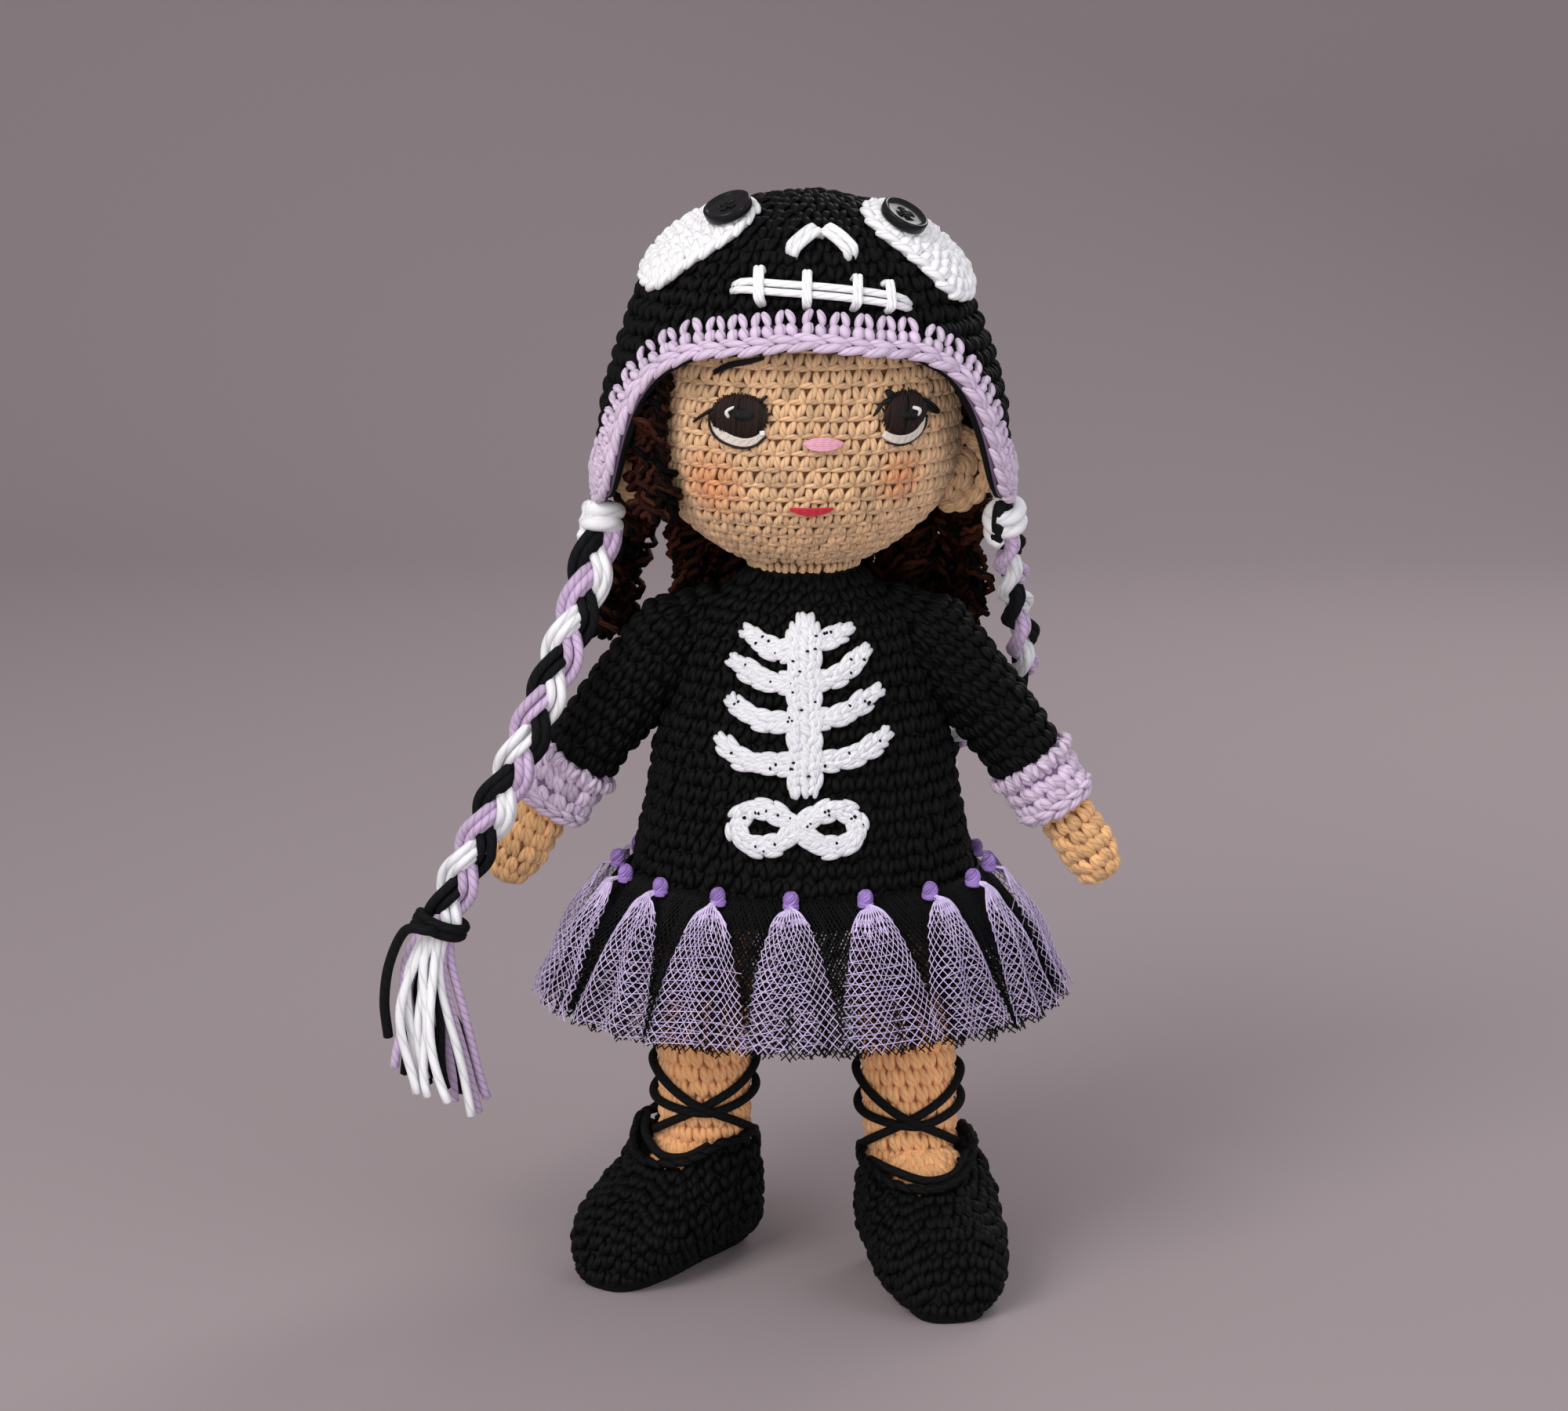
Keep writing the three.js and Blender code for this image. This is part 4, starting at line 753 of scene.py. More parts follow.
eye_places = {
    "right": dict(
        iris=((-0.1, -0.1), (6.9, 5.9)), pupil=((1.1, 0.4), (2.2, 2.1)),
        inner=[(-6.3, -0.4), (-5.0, -2.7), (-2.3, -4.7), (1.0, -5.6), (4.0, -4.9), (5.8, -3.2)],
        outer=[(-7.2, -1.2), (-6.2, -4.3), (-3.4, -6.4), (0.6, -7.3), (3.6, -6.6), (5.9, -4.4)],
        line=[(-7.7, 0.4), (-7.5, -3.2), (-5.6, -5.9), (-2.6, -7.3), (0.8, -7.9), (3.8, -7.1), (6.3, -4.9)],
        shine=[(-1.2, 2.3), (-2.7, 1.2), (-2.5, -0.6)], dots=[(5.5, -3.9)],
        lashes=[[(-5.0, 2.4), (-8.0, 0.4), (-11.5, -2.2)], [(4.9, 4.0), (5.9, 4.6), (6.6, 5.2)]],
        lash_width=(1.0, 0.6),
    ),
    "left": dict(
        iris=((0.0, 0.2), (5.3, 5.9)), pupil=((0.7, -0.5), (1.7, 1.5)),
        inner=[(-4.9, -3.9), (-3.0, -5.0), (-0.5, -5.5), (2.2, -4.8), (4.1, -2.8), (4.7, 0.2)],
        outer=[(-5.6, -5.1), (-3.8, -6.5), (-1.2, -7.2), (1.7, -6.6), (4.2, -4.5), (5.4, -0.2)],
        line=[(-4.6, -6.7), (-1.4, -7.7), (0.8, -7.4), (3.3, -6.0), (5.2, -3.7), (5.8, -1.0)],
        shine=[(1.1, 1.6), (2.5, 0.9), (2.9, -0.8)], dots=[],
        lashes=[[(-3.0, 3.6), (-5.6, 3.3), (-7.7, 0.1)], [(4.2, 3.0), (6.8, 0.6), (8.8, -0.8)],
                [(-3.0, 4.4), (-4.0, 5.2), (-4.8, 6.2)]],
        lash_width=(0.8, 1.2, 1.1),
    ),
}
for word, seed in (("right", 31), ("left", 32)):
    low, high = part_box("eye_" + word)
    centre = np.array([(low[0] + high[0]) / 2, (low[2] + high[2]) / 2 + 0.0006])
    place = eye_places[word]
    rng = np.random.default_rng(seed)
    middle, half = place["iris"]
    iris = satin(centre, middle, half, lean=0.5, curve=0.5, spacing=0.42, lift=0.0008, rng=rng)
    under = satin(centre, middle, 0.95 * np.array(half), lean=-0.8, curve=-0.4, spacing=0.5, lift=0.0004,
                  rng=rng)
    pupil = satin(centre, *place["pupil"], -0.5, 0.0, 0.4, 0.0013, rng)
    cream = crescent(place["inner"], place["outer"], 8, centre, 0.0006)
    lashes = []
    for points, width in zip(place["lashes"], place["lash_width"]):
        for k in np.linspace(-0.5, 0.5, 3):
            aside = np.outer((1.0, 0.8, 0.3), (k * width, 0.8 * k * width))
            lashes.append(stitch_on_face(points + aside, centre, lift=0.0009))
    chunks = [
        thread_chunk(under, thread_radius, slot=0, seed=1),
        thread_chunk(iris, thread_radius, slot=0, seed=2),
        thread_chunk(pupil, thread_radius, slot=1, seed=3),
        thread_chunk(cream, radius=0.00034, slot=2, taper=0.7, seed=4),
        thread_chunk([stitch_on_face(place["line"], centre, lift=0.0005)], radius=0.00030, slot=1,
                     taper=0.9),
        thread_chunk(lashes, radius=0.00046, slot=1, taper=0.5),
        thread_chunk([stitch_on_face(place["shine"], centre + d, lift=0.0019) for d in (0, 0.0002)],
                     radius=0.00036, slot=3, taper=0.6),
    ]
    for x, z in place["dots"]:
        dot = [stitch_on_face([(x - 0.5, z + k), (x, z + k), (x + 0.5, z + k)], centre, lift=0.0008, steps=9)
               for k in (-0.25, 0.25)]
        chunks.append(thread_chunk(dot, radius=0.0004, slot=3, taper=0.8))
    piece_mesh("eye_threads_" + word, chunks, [iris_thread, black_thread, cream_thread, white_thread],
               "root", "eye_" + word)


# The brow, nose and mouth: a few satin stitches each, in black, pink and red thread drawn through the head.
# Only the right eye's brow shows below the hat.
face_stitches = {
    "brow_stitch": ([[(-6.2, -2.0 + k), (-2.0, 0.1 + k), (2.5, 1.1 + k * 0.8), (6.4, 2.2 + k * 0.5)]
                     for k in (-0.45, 0.0, 0.45)], 0.00036, 0.0008, black_thread, "brown_thread"),
    "nose_stitch": ([[(-5.0 + 0.7 * abs(k), k * 0.45), (-2.0, k * 1.1), (1.6, k * 1.1),
                      (5.4 - 0.4 * abs(k), k * 0.25)]
                     for k in (-1.15, -0.7, -0.23, 0.23, 0.7, 1.15)],
                    0.00042, 0.0012, pink_thread, "pink_thread"),
    "mouth_stitch": ([[(-5.3, 0.35 - 0.35 * k), (-2.6, 0.45 - 1.1 * k), (0.0, 0.45 - 1.45 * k),
                       (2.6, 0.45 - 1.1 * k), (5.3, 0.35 - 0.35 * k)]
                      for k in (0.0, 0.33, 0.67, 1.0)], 0.00042, 0.0010, red_thread, "red_thread"),
}
for node, (places, radius, lift, material, slot) in face_stitches.items():
    low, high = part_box(node)
    centre = np.array([(low[0] + high[0]) / 2, (low[2] + high[2]) / 2])
    lines = [stitch_on_face(line, centre, lift, steps=12) for line in places]
    chunk = thread_chunk(lines, radius, slot=0, tone=0.3, taper=0.5, seed=9)
    piece_mesh(node + "_threads", [chunk], [material], "root", node)


# The hair: red-brown curly yarn. A wig cap of wavy strands lies on the head, and ringlets hang from its
# edge behind the ears and down the back.
hair_color = (0.034, 0.0095, 0.0050)
hair_yarn = yarn_material("red-brown curly yarn", hair_color, plies=4, twists=350, dark=0.6, spread=1.1,
                          fuzz=1.3, roughness=0.6, sheen=0.0, specular=0.08)
rng = np.random.default_rng(41)
cap_strands = 150
steps = np.linspace(0, 1, 20)
turn = (np.arange(cap_strands) + rng.uniform(-0.3, 0.3, cap_strands)) / cap_strands * 2 * np.pi
edge_run = head_form.run_at(hair_edge(turn))
run = edge_run[:, None] + (head_form.length * 0.995 - edge_run)[:, None] * steps
wave = 0.035 * np.sin(steps * rng.uniform(18, 30, (cap_strands, 1)) + rng.uniform(0, 6.3, (cap_strands, 1)))
wave = wave * (1 - steps**3)
lift = rng.uniform(0.0010, 0.0016, (cap_strands, 1))
lift = lift + 0.0003 * np.sin(steps * 40 + rng.uniform(0, 6, (cap_strands, 1)))
cap_paths = head_form.point(turn[:, None] + wave, run, lift)
cap_radius = np.interp(steps, [0, 0.6, 1], [0.0012, 0.0010, 0.0005])
cap_tones = rng.normal(0, 0.5, cap_strands)
piece_mesh(
    "wig_cap_strands",
    [cord_chunk(cap_paths, cap_radius, sides=6, tone=cap_tones, up=unit(cap_paths - [0, 0, 0.23]))],
    [hair_yarn], "root", "hair_cap",
)


def ringlet(path, coil, pitch, phase, rng):
    """An uneven helix round a path: radius coil, about one turn in each pitch, drawn in at the top."""
    line, along = smooth_line(path, 90, True)
    _, across, out = side_frame(line, np.array([0.1, -1.0, 0.15]))
    share = along / along[-1]
    spin = 2 * np.pi * along / pitch + 1.3 * np.sin(share * rng.uniform(4, 9) + rng.uniform(0, 6)) + phase
    uneven = 1 + 0.45 * np.sin(share * rng.uniform(8, 18) + phase)
    reach = coil * (0.35 + 0.65 * np.clip(share * 5, 0, 1)) * uneven
    flat = rng.uniform(0.7, 1.0)
    ripple = along / 0.0024 * 2 * np.pi * rng.uniform(0.8, 1.2)
    frizz = 0.00045 * np.sin(ripple + 2 * np.sin(share * 11 + phase))
    return (line + (reach * np.cos(spin) + frizz)[:, None] * across
            + (flat * reach * np.sin(spin) - frizz)[:, None] * out)


def ringlets(falls, rng):
    """Four strands twined loosely round each guide line, and a thin core darkened as painted shade inside the
    curls.
    """
    curls, painted_shade_cores, tones = [], [], []
    for path in falls:
        turn_at = rng.uniform(0, 6.3)
        size = 0.0022 * rng.uniform(0.7, 1.35)
        step = 0.0105 * rng.uniform(0.8, 1.3) * rng.choice([-1, 1])
        for extra in (0.0, 0.8, 1.7, 3.6):
            curls.append(ringlet(path, size * rng.uniform(0.8, 1.15), step, turn_at + extra, rng))
            tones.append(rng.normal(0, 0.6))
        painted_shade_cores.append(smooth_line(path, 30))
    # The cores' low tone makes them near black, as painted shade inside the curls.
    return [cord_chunk(curls, radii=0.00085, sides=5, tone=tones),
            cord_chunk(painted_shade_cores, radii=0.0012, sides=5, tone=np.full(len(painted_shade_cores), -0.9))]


def hanging_curls(turns, top, length, out_top, out_low, rng):
    """Guide lines that start on the head at a turn and height and hang down, waving a little."""
    paths = []
    for turn in turns:
        fall = length * rng.uniform(0.8, 1.05)
        points = []
        for share in np.linspace(0, 1, 7):
            z = top + rng.uniform(-0.002, 0.002) - fall * share
            out = out_top + (out_low - out_top) * min(1, share * 1.3) + rng.normal(0, 0.0008)
            t = turn + rng.normal(0, 0.02)
            points.append((out * math.sin(t), -out * ratio * math.cos(t), z))
        paths.append(points)
    return paths


fall_low, fall_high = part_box("hair_fall")
fall_length = fall_high[2] - fall_low[2]
rng = np.random.default_rng(42)
outer_turns = np.radians(np.linspace(128, 232, 19)) + rng.normal(0, 0.02, 19)
inner_turns = np.radians(np.linspace(132, 228, 15)) + rng.normal(0, 0.02, 15)
back_paths = hanging_curls(outer_turns, fall_high[2] + 0.006, fall_length + 0.006, out_top=0.0440,
                           out_low=0.0415, rng=rng)
back_paths += hanging_curls(inner_turns, fall_high[2] + 0.002, fall_length * 0.97, out_top=0.0405,
                            out_low=0.0385, rng=rng)
piece_mesh("hair_fall_ringlets", ringlets(back_paths, rng), [hair_yarn], "root", "hair_fall")


# The locks: curls that lie between cheek and ear flap, and more that hang free behind the ear. Those over the
# shoulder end above the sleeve; the others hang behind it and spread.
curl_turns = {"right": [50, 54, 58, 62, 57, 64, 96, 99, 103, 107, 111, 115, 119, 123, 127],
              "left": [97, 139, 100, 103, 106, 109, 112, 115, 118, 121, 124, 127, 130, 133, 136]}
curl_spread = {"right": 0.0110, "left": 0.0035}
ear_turn, shoulder_turn = 1.4, 1.97
shoulder_clear = 0.189
chin_height = 0.1985
for word, side in sides.items():
    rng = np.random.default_rng(43 + side)
    lock_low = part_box("hair_lock_" + word)[0][2]
    turns = np.radians(curl_turns[word]) * side + rng.normal(0, 0.02, 15)
    tops = hair_edge(turns) + 0.002
    paths = []
    for k, turn in enumerate(turns):
        before_ear = abs(turn) < ear_turn
        over_arm = abs(turn) < shoulder_turn
        floor_z = max(lock_low, shoulder_clear) if over_arm else lock_low
        length = tops[k] - floor_z - rng.uniform(0.0, 0.006 if over_arm else 0.010)
        length -= 0.012 if before_ear else 0
        flare = 0.0 if over_arm else curl_spread[word]
        start = head_form.point(turn, head_form.run_at(tops[k]), 0.0022)
        off = (0.0012 + 0.0008 * (k % 3)) if before_ear else 0.0
        drift = 0.06 if before_ear else (0.10 if over_arm else -0.06)
        points = []
        for share in np.linspace(0, 1, 8):
            z = tops[k] - length * share
            on_head = head_form.point(turn, head_form.run_at(max(z, chin_height)), 0.0030)
            skin = np.hypot(on_head[0], on_head[1] / ratio)
            free = np.hypot(start[0], start[1] / ratio) + 0.0035 * math.sin(share * 2.6)
            free += flare * max(0.0, share - 0.3) / 0.7
            out = (max(skin, free - 0.004) if before_ear else free) + off + rng.normal(0, 0.0007)
            t = turn + side * drift * share + rng.normal(0, 0.018)
            points.append((out * math.sin(t), -out * ratio * math.cos(t), z))
        paths.append(points)
    piece_mesh("hair_lock_ringlets_" + word, ringlets(paths, rng), [hair_yarn], "root", "hair_lock_" + word)


# The hat: black cotton in rounds of single crochet, with two ear flaps. It is one soft shell that lies on
# the hair; the eye-socket patches, buttons and stitches are sewn to it, and the braids hang from the flaps.
hat_half_width = 0.0533
hat_base = 0.2035
hat_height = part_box("hat_crown")[1][2] - hat_base
hat_heart = hat_base + hat_height / 2
black_color = (0.0016, 0.0016, 0.0021)
hat_shares = [
    [0.985, 0], [1, 0.12], [0.998, 0.24], [0.975, 0.36], [0.92, 0.485], [0.852, 0.61], [0.77, 0.745],
    [0.62, 0.856], [0.47, 0.925], [0.3, 0.968], [0.13, 0.993], [0, 1],
]
hat_form = Turned(hat_shares, hat_half_width, hat_base, hat_height, ratio)
hat_edge_turns = np.radians([0, 35, 47, 53, 57, 61, 66, 72, 80, 90, 100, 110, 122, 140, 180])
hat_edge_shares = np.array([0.543, 0.504, 0.444, 0.369, 0.281, 0.181, 0.081, 0.026, 0.005, 0.004, 0.031, 0.1,
                            0.169, 0.194, 0.2])
black_yarn = yarn_material("black cotton yarn", black_color, plies=4, twists=260, dark=0.55, spread=0.35,
                           fuzz=1.0, roughness=0.62, sheen=0.0, specular=0.14)
# Painted shade: the shells, bands and bases under the black stitches are darker than the black yarn.
black_painted_shade = holes("black painted shade", (0.0010, 0.0010, 0.0013), sheen=0.0)


def softened(values, window):
    """A run of values with its corners rounded off over a window of an odd number of them."""
    kernel = np.hanning(window) / np.hanning(window).sum()
    return np.convolve(np.pad(values, window // 2, mode="edge"), kernel, mode="valid")


edge_dense = np.linspace(-0.5, np.pi + 0.5, 800)
edge_soft = softened(np.interp(np.abs(edge_dense), hat_edge_turns, hat_edge_shares), 41)


def hat_edge(turn):
    """The height of the hat's lower edge at a turn from the front."""
    return hat_base + hat_height * np.interp(from_front(turn), edge_dense, edge_soft)


edge_turn = np.linspace(0, 2 * np.pi, 2401)
edge_run = hat_form.run_at(hat_edge(edge_turn))
edge_line = hat_form.point(edge_turn, edge_run)
edge_along = runs_along(edge_line)
edge_out = unit(hat_form.point(edge_turn, edge_run, MM) - edge_line)
edge_up = unit(np.cross(edge_out, unit(np.gradient(edge_line, axis=0))))


def hat_run_of(points):
    """The turn and run of the hat's surface nearest to points that lie close to it."""
    angle = np.arctan2(points[..., 2] - hat_heart, np.hypot(points[..., 0], points[..., 1] / ratio))
    table = np.arctan2(hat_form.line[:, 1] - hat_heart, hat_form.line[:, 0])
    return turn_of(points), np.interp(angle, table, hat_form.runs)


def on_trim(along, up, out):
    """A place on the hat from the length along its edge, the width above the edge, and the height off it."""
    s = np.mod(along, edge_along[-1])
    way = unit(look_up(s, edge_along, edge_up))
    turn, run = hat_run_of(look_up(s, edge_along, edge_line) + np.asarray(up)[..., None] * way)
    return hat_form.point(turn, run, out)


trim_width = 0.0096


def above_trim(places):
    """Whether places on the hat lie above the trim, which keeps its width square to the hat's edge."""
    turn = turn_of(places)
    top = hat_edge(turn)
    for along in np.linspace(-1, 1, 25) * trim_width:
        near = hat_edge(turn + along / hat_half_width)
        top = np.maximum(top, near + np.sqrt(max(trim_width**2 - along**2, 0)))
    return places[:, 2] > top - 0.0035


def shell_chunk(form, low_edge, top, outer, inner, columns=96, rows=30):
    """A closed cap of cloth: its inner face from the crown down to the edge, and its outer face back up."""
    turn = 2 * np.pi * np.arange(columns) / columns
    low = low_edge(turn)
    share = np.linspace(0, 1, rows)[:, None]
    outside = form.point(turn, low + (top - low) * share, outer)
    inside = form.point(turn, low + (top - low) * share[::-1], inner)
    return skin_chunk(np.concatenate([inside, outside]))


def crown_edge(turn):
    """The run of the crown's lower edge, which the trim covers."""
    return hat_form.run_at(hat_edge(turn)) + 0.002


piece_mesh(
    "hat_crown_stitches",
    [crochet(hat_form, 0.002, hat_form.length - 0.0015, width=0.0043, height=0.0045, radius=0.00112,
             seed=51, keep=above_trim, wobble=2.0, spread=0.25, tall_share=1.0, skew=0.17),
     shell_chunk(hat_form, crown_edge, hat_form.length * 0.999, outer=-0.0019, inner=-0.0030)],
    [black_yarn, black_painted_shade], "hat", "hat_crown",
)


# The trim: lilac cotton worked round the whole edge. It ends in a row of small picots on the hat, has a row
# of short thick stitches below them, and a rope-like ridge of slanted stitches along the edge itself.
picot_pitch = 0.0061
lilac_yarn = yarn_material("lilac cotton yarn", (0.71, 0.575, 0.74), twists=260, dark=0.30, spread=0.12,
                           fuzz=0.2)
# Painted shade: the band under the lilac stitches is a much darker lilac than the yarn.
lilac_painted_shade = holes("lilac painted shade", (0.19, 0.115, 0.23))


def edging(place, length, seed, scale=1.0, rows=("ridge", "short", "picots")):
    """The lilac edging on place(along, up, out): ridge, short stitches and picots."""
    rng = np.random.default_rng(seed)
    number = round(length / picot_pitch / scale)
    pitch = length / number
    at = np.arange(number)[:, None] * pitch
    t = np.linspace(-1, 1, 11)
    spans, widths, ups = [], [], []

    def lay(along, up, out, radius, profile):
        along = at + along * scale + rng.normal(0, 0.00010, (number, 1))
        up = up * scale + rng.normal(0, 0.00008, (number, 1))
        out = out * scale + rng.normal(0, 0.00008, (number, 1))
        spans.append(place(along, up, out))
        widths.append(radius * scale * profile * (1 + rng.normal(0, 0.05, (number, 1))))
        ups.append(place(along, up, out + MM) - spans[-1])

    plump = np.cos(t * 1.35) ** 0.45
    slim = np.cos(t * 1.40) ** 0.6
    arch = 1 - t**2
    if "ridge" in rows:
        lay(0.0040 * t, 0.0011 + 0.00085 * t, 0.0003 + 0.0009 * arch, 0.00118, slim)
        lay(0.0040 * t + 0.0012, 0.0032 - 0.00085 * t, 0.0004 + 0.0009 * arch, 0.00118, slim)
    for shift, lean in ((0.10, 1), (0.56, -1)) if "short" in rows else ():
        leg = 0.0004 * lean * t + shift * pitch / scale
        lay(leg, 0.0055 + 0.00135 * t, 0.0001 + 0.0007 * arch, 0.00150, plump)
    for lean in (-1, 1) if "picots" in rows else ():
        leg = lean * (0.00178 - 0.0012 * ((t + 1) / 2) ** 2) + 0.33 * pitch / scale
        lay(leg, 0.0086 + 0.00180 * t, 0.0007 + 0.0004 * arch, 0.00106, plump)
    tones = rng.normal(0, 0.35, len(spans) * number)
    return cord_chunk(np.concatenate(spans), np.concatenate(widths), sides=7, tone=tones,
                      up=unit(np.concatenate(ups)))


def band_under(low, high, outer, inner, slot):
    """The closed band under the hat's edging, which carries the painted shade of its holes and inner side."""
    columns = 300
    along = np.arange(columns) / columns * edge_along[-1]
    corners = [(low, inner), (low, outer), (high, outer), (high, inner)]
    rings = [on_trim(along, np.full(columns, up), np.full(columns, out)) for up, out in corners]
    return skin_chunk(np.stack(rings), slot, close=True)


piece_mesh(
    "hat_trim_stitches",
    [edging(on_trim, edge_along[-1], seed=52),
     # The outer band is lilac painted shade in the holes between the edging's stitches.
     band_under(low=0.0012, high=0.0075, outer=-0.0008, inner=-0.0014, slot=1),
     # The inner band is black as painted shade: the trim's inner side is lilac yarn in shade.
     band_under(low=0.0009, high=0.0075, outer=-0.0014, inner=-0.0024, slot=2)],
    [lilac_yarn, lilac_painted_shade, black_painted_shade], "hat", "hat_trim",
)


# The eye-socket patches: flat ovals of white cotton, worked in rounds from a short chain. They are sewn on
# the hat, and a button sits on each.
white_yarn = yarn_material("white cotton yarn", (0.97, 0.965, 0.985), twists=240, dark=0.22, spread=0.06,
                           fuzz=0.12)
# Painted shade: the base under the patches' lobes is a greyer white than the yarn.
white_painted_shade = holes("white painted shade", (0.80, 0.78, 0.82))
patch_ends = {
    "right": ([-40.0, -12.0, 262.0], [-12.5, -17.0, 279.5]),
    "left": ([41.5, -13.0, 258.5], [15.5, -15.0, 279.3]),
}
patch_half_length, patch_half_width = 0.0175, 0.0120


def on_patch(word, a, b, out):
    """A place on the hat from lengths along and across a patch, counted from its middle."""
    low, high = np.array(patch_ends[word]) * MM
    middle = (low + high) / 2
    ahead = unit(high - low)
    across = unit(np.cross(unit(middle - [0, 0, hat_heart]), ahead))
    turn, run = hat_run_of(middle + np.asarray(a)[..., None] * ahead + np.asarray(b)[..., None] * across)
    return hat_form.point(turn, run, out)


def oval(inset, count):
    """Evenly spaced places and outward ways round an oval whose middle part is straight."""
    radius = patch_half_width - inset
    angle = np.linspace(0, 2 * np.pi, 721)
    straight = np.clip(np.cos(angle) * 3, -1, 1) * (patch_half_length - patch_half_width)
    ring = np.stack([np.cos(angle) * radius + straight, np.sin(angle) * radius], 1)
    ring[:, 1] *= 1 - 0.10 * ring[:, 0] / patch_half_length
    along = runs_along(ring)
    places = look_up(np.linspace(0, along[-1], count + 1)[:-1], along, ring)
    ahead = unit(np.roll(places, -1, 0) - np.roll(places, 1, 0))
    return places, ahead, along[-1]


def flat_lobes(places, ahead, length, lean, place, radius, raise_by, rng, slot=0):
    """Plump lobes laid flat on place(a, b, out): each runs along its way, turned by lean radians."""
    t = np.linspace(-0.5, 0.5, 8)
    n = len(places)
    lean = lean + rng.normal(0, 0.08, n)
    way = np.stack([ahead[:, 0] * np.cos(lean) - ahead[:, 1] * np.sin(lean),
                    ahead[:, 0] * np.sin(lean) + ahead[:, 1] * np.cos(lean)], 1)
    flat = places[:, None] + way[:, None] * (t * length)[None, :, None] + rng.normal(0, 0.00008, (n, 1, 2))
    out = raise_by + 0.0006 * (np.cos(np.pi * t) - 1) + rng.normal(0, 0.00006, (n, 1))
    lines = place(flat[..., 0], flat[..., 1], out)
    up = unit(place(flat[..., 0], flat[..., 1], out + MM) - lines)
    thick = radius * np.cos(np.pi * t * 0.86) ** 0.45 * (1 + rng.normal(0, 0.05, (n, 1)))
    return cord_chunk(lines, thick, sides=7, tone=rng.normal(0, 0.3, n), slot=slot, up=up)


# Each round: how far in it lies, its pitch, and its lobes' length, lean, radius and height.
patch_rounds = (
    (0.0011, 0.0046, 0.0066, 0.25, 0.00135, 0.0010), (0.0036, 0.0028, 0.0044, 0.95, 0.00165, 0.0012),
    (0.0066, 0.0028, 0.0044, 1.05, 0.00165, 0.0013), (0.0096, 0.0028, 0.0044, 0.95, 0.00165, 0.0013),
    (0.0117, 0.0030, 0.0044, 1.00, 0.00150, 0.0014),
)
patch_base = ((0.0006, -0.0005), (0.0006, 0.0004), (0.0060, 0.0007), (0.0110, 0.0007))
for word, seed in (("right", 53), ("left", 54)):
    rng = np.random.default_rng(seed)
    place = functools.partial(on_patch, word)
    chunks = []
    for number, (inset, pitch, length, lean, radius, high) in enumerate(patch_rounds):
        places, ahead, _ = oval(inset, round(oval(inset, 40)[2] / pitch))
        if number > 0:
            lean = lean * np.where(np.arange(len(places)) % 2, 1.0, 1.4)
        chunks.append(flat_lobes(places, ahead, length, lean, place, radius, high, rng))
    rims = [(oval(inset, 48)[0].T, np.full(48, out)) for inset, out in patch_base]
    chunks.append(skin_chunk(np.stack([place(a, b, out) for (a, b), out in rims])))
    piece_mesh("hat_patch_stitches_" + word, chunks, [white_yarn, white_painted_shade], "hat", "hat_patch_" + word)


# The buttons: black plastic with a raised rim and a dished middle, sewn on with black thread crossed
# through four holes.
button_black = bpy.data.materials.new("black button plastic")
button_black.use_nodes = True
button_shader = button_black.node_tree.nodes["Principled BSDF"]
button_shader.inputs["Base Color"].default_value = (0.010, 0.010, 0.011, 1)
button_shader.inputs["Roughness"].default_value = 0.22
button_shader.inputs["Specular IOR Level"].default_value = 0.2
button_eyes = {"right": [-17.6, -19.6, 276.5], "left": [23.1, -18.2, 274.6]}
hole_radius, hole_spread = 0.00075, 0.0017
hole_aside = hole_spread / math.sqrt(2)
field_radius, field_height, dish_height = 0.0040, 0.0021, 0.00205
button_profile = [(field_radius, field_height), (0.0049, 0.00235), (0.0054, 0.0029), (0.0057, 0.0030),
                  (0.0061, 0.00285), (0.0062, 0.0026), (0.0062, 0.0009), (0.0060, 0.0003), (0.0052, 0.0),
                  (field_radius, 0.0)]


def button_body(sides=96):
    """A button about the origin, its face upwards: the outer rings are turned, and the middle is four equal
    fields, each with a hole whose wall joins the face to the back."""
    angle = 2 * np.pi * np.arange(sides + 1) / sides
    circle = np.stack([np.cos(angle), np.sin(angle)], 1)
    points, quads = [], []

    def patch(rows):
        rows = np.array([np.column_stack([flat, np.full(len(flat), z)]) for flat, z in rows])
        n, m, _ = rows.shape
        i, j = np.meshgrid(np.arange(n - 1), np.arange(m - 1), indexing="ij")
        corners = [i * m + j, i * m + j + 1, (i + 1) * m + j + 1, (i + 1) * m + j]
        quads.append(np.stack(corners, -1).reshape(-1, 4) + sum(len(p) for p in points))
        points.append(rows.reshape(-1, 3))

    patch([(circle * r, z) for r, z in button_profile])
    quarter = circle[: sides // 4 + 1]
    spoke = np.linspace(0, field_radius, 9)
    border = np.vstack([np.column_stack([spoke[:-1], np.zeros(8)]), quarter * field_radius,
                        np.column_stack([np.zeros(8), spoke[-2::-1]])])
    hole = hole_aside + unit(border - hole_aside) * hole_radius
    for _ in range(4):
        patch([(hole, dish_height), ((hole + border) / 2, dish_height), (border, field_height)])
        patch([(hole, 0.0), (hole, dish_height)])
        patch([(border, 0.0), (hole, 0.0)])
        hole, border = (np.column_stack([-flat[:, 1], flat[:, 0]]) for flat in (hole, border))
    points, index = np.unique(np.round(np.concatenate(points), 7) + 0.0, axis=0, return_inverse=True)
    quads, triangles = facing_out(points, index.reshape(-1)[np.concatenate(quads)], np.zeros((0, 3), int))
    return points, quads, triangles, np.zeros((4 * len(quads), 2)), 0.0, 0


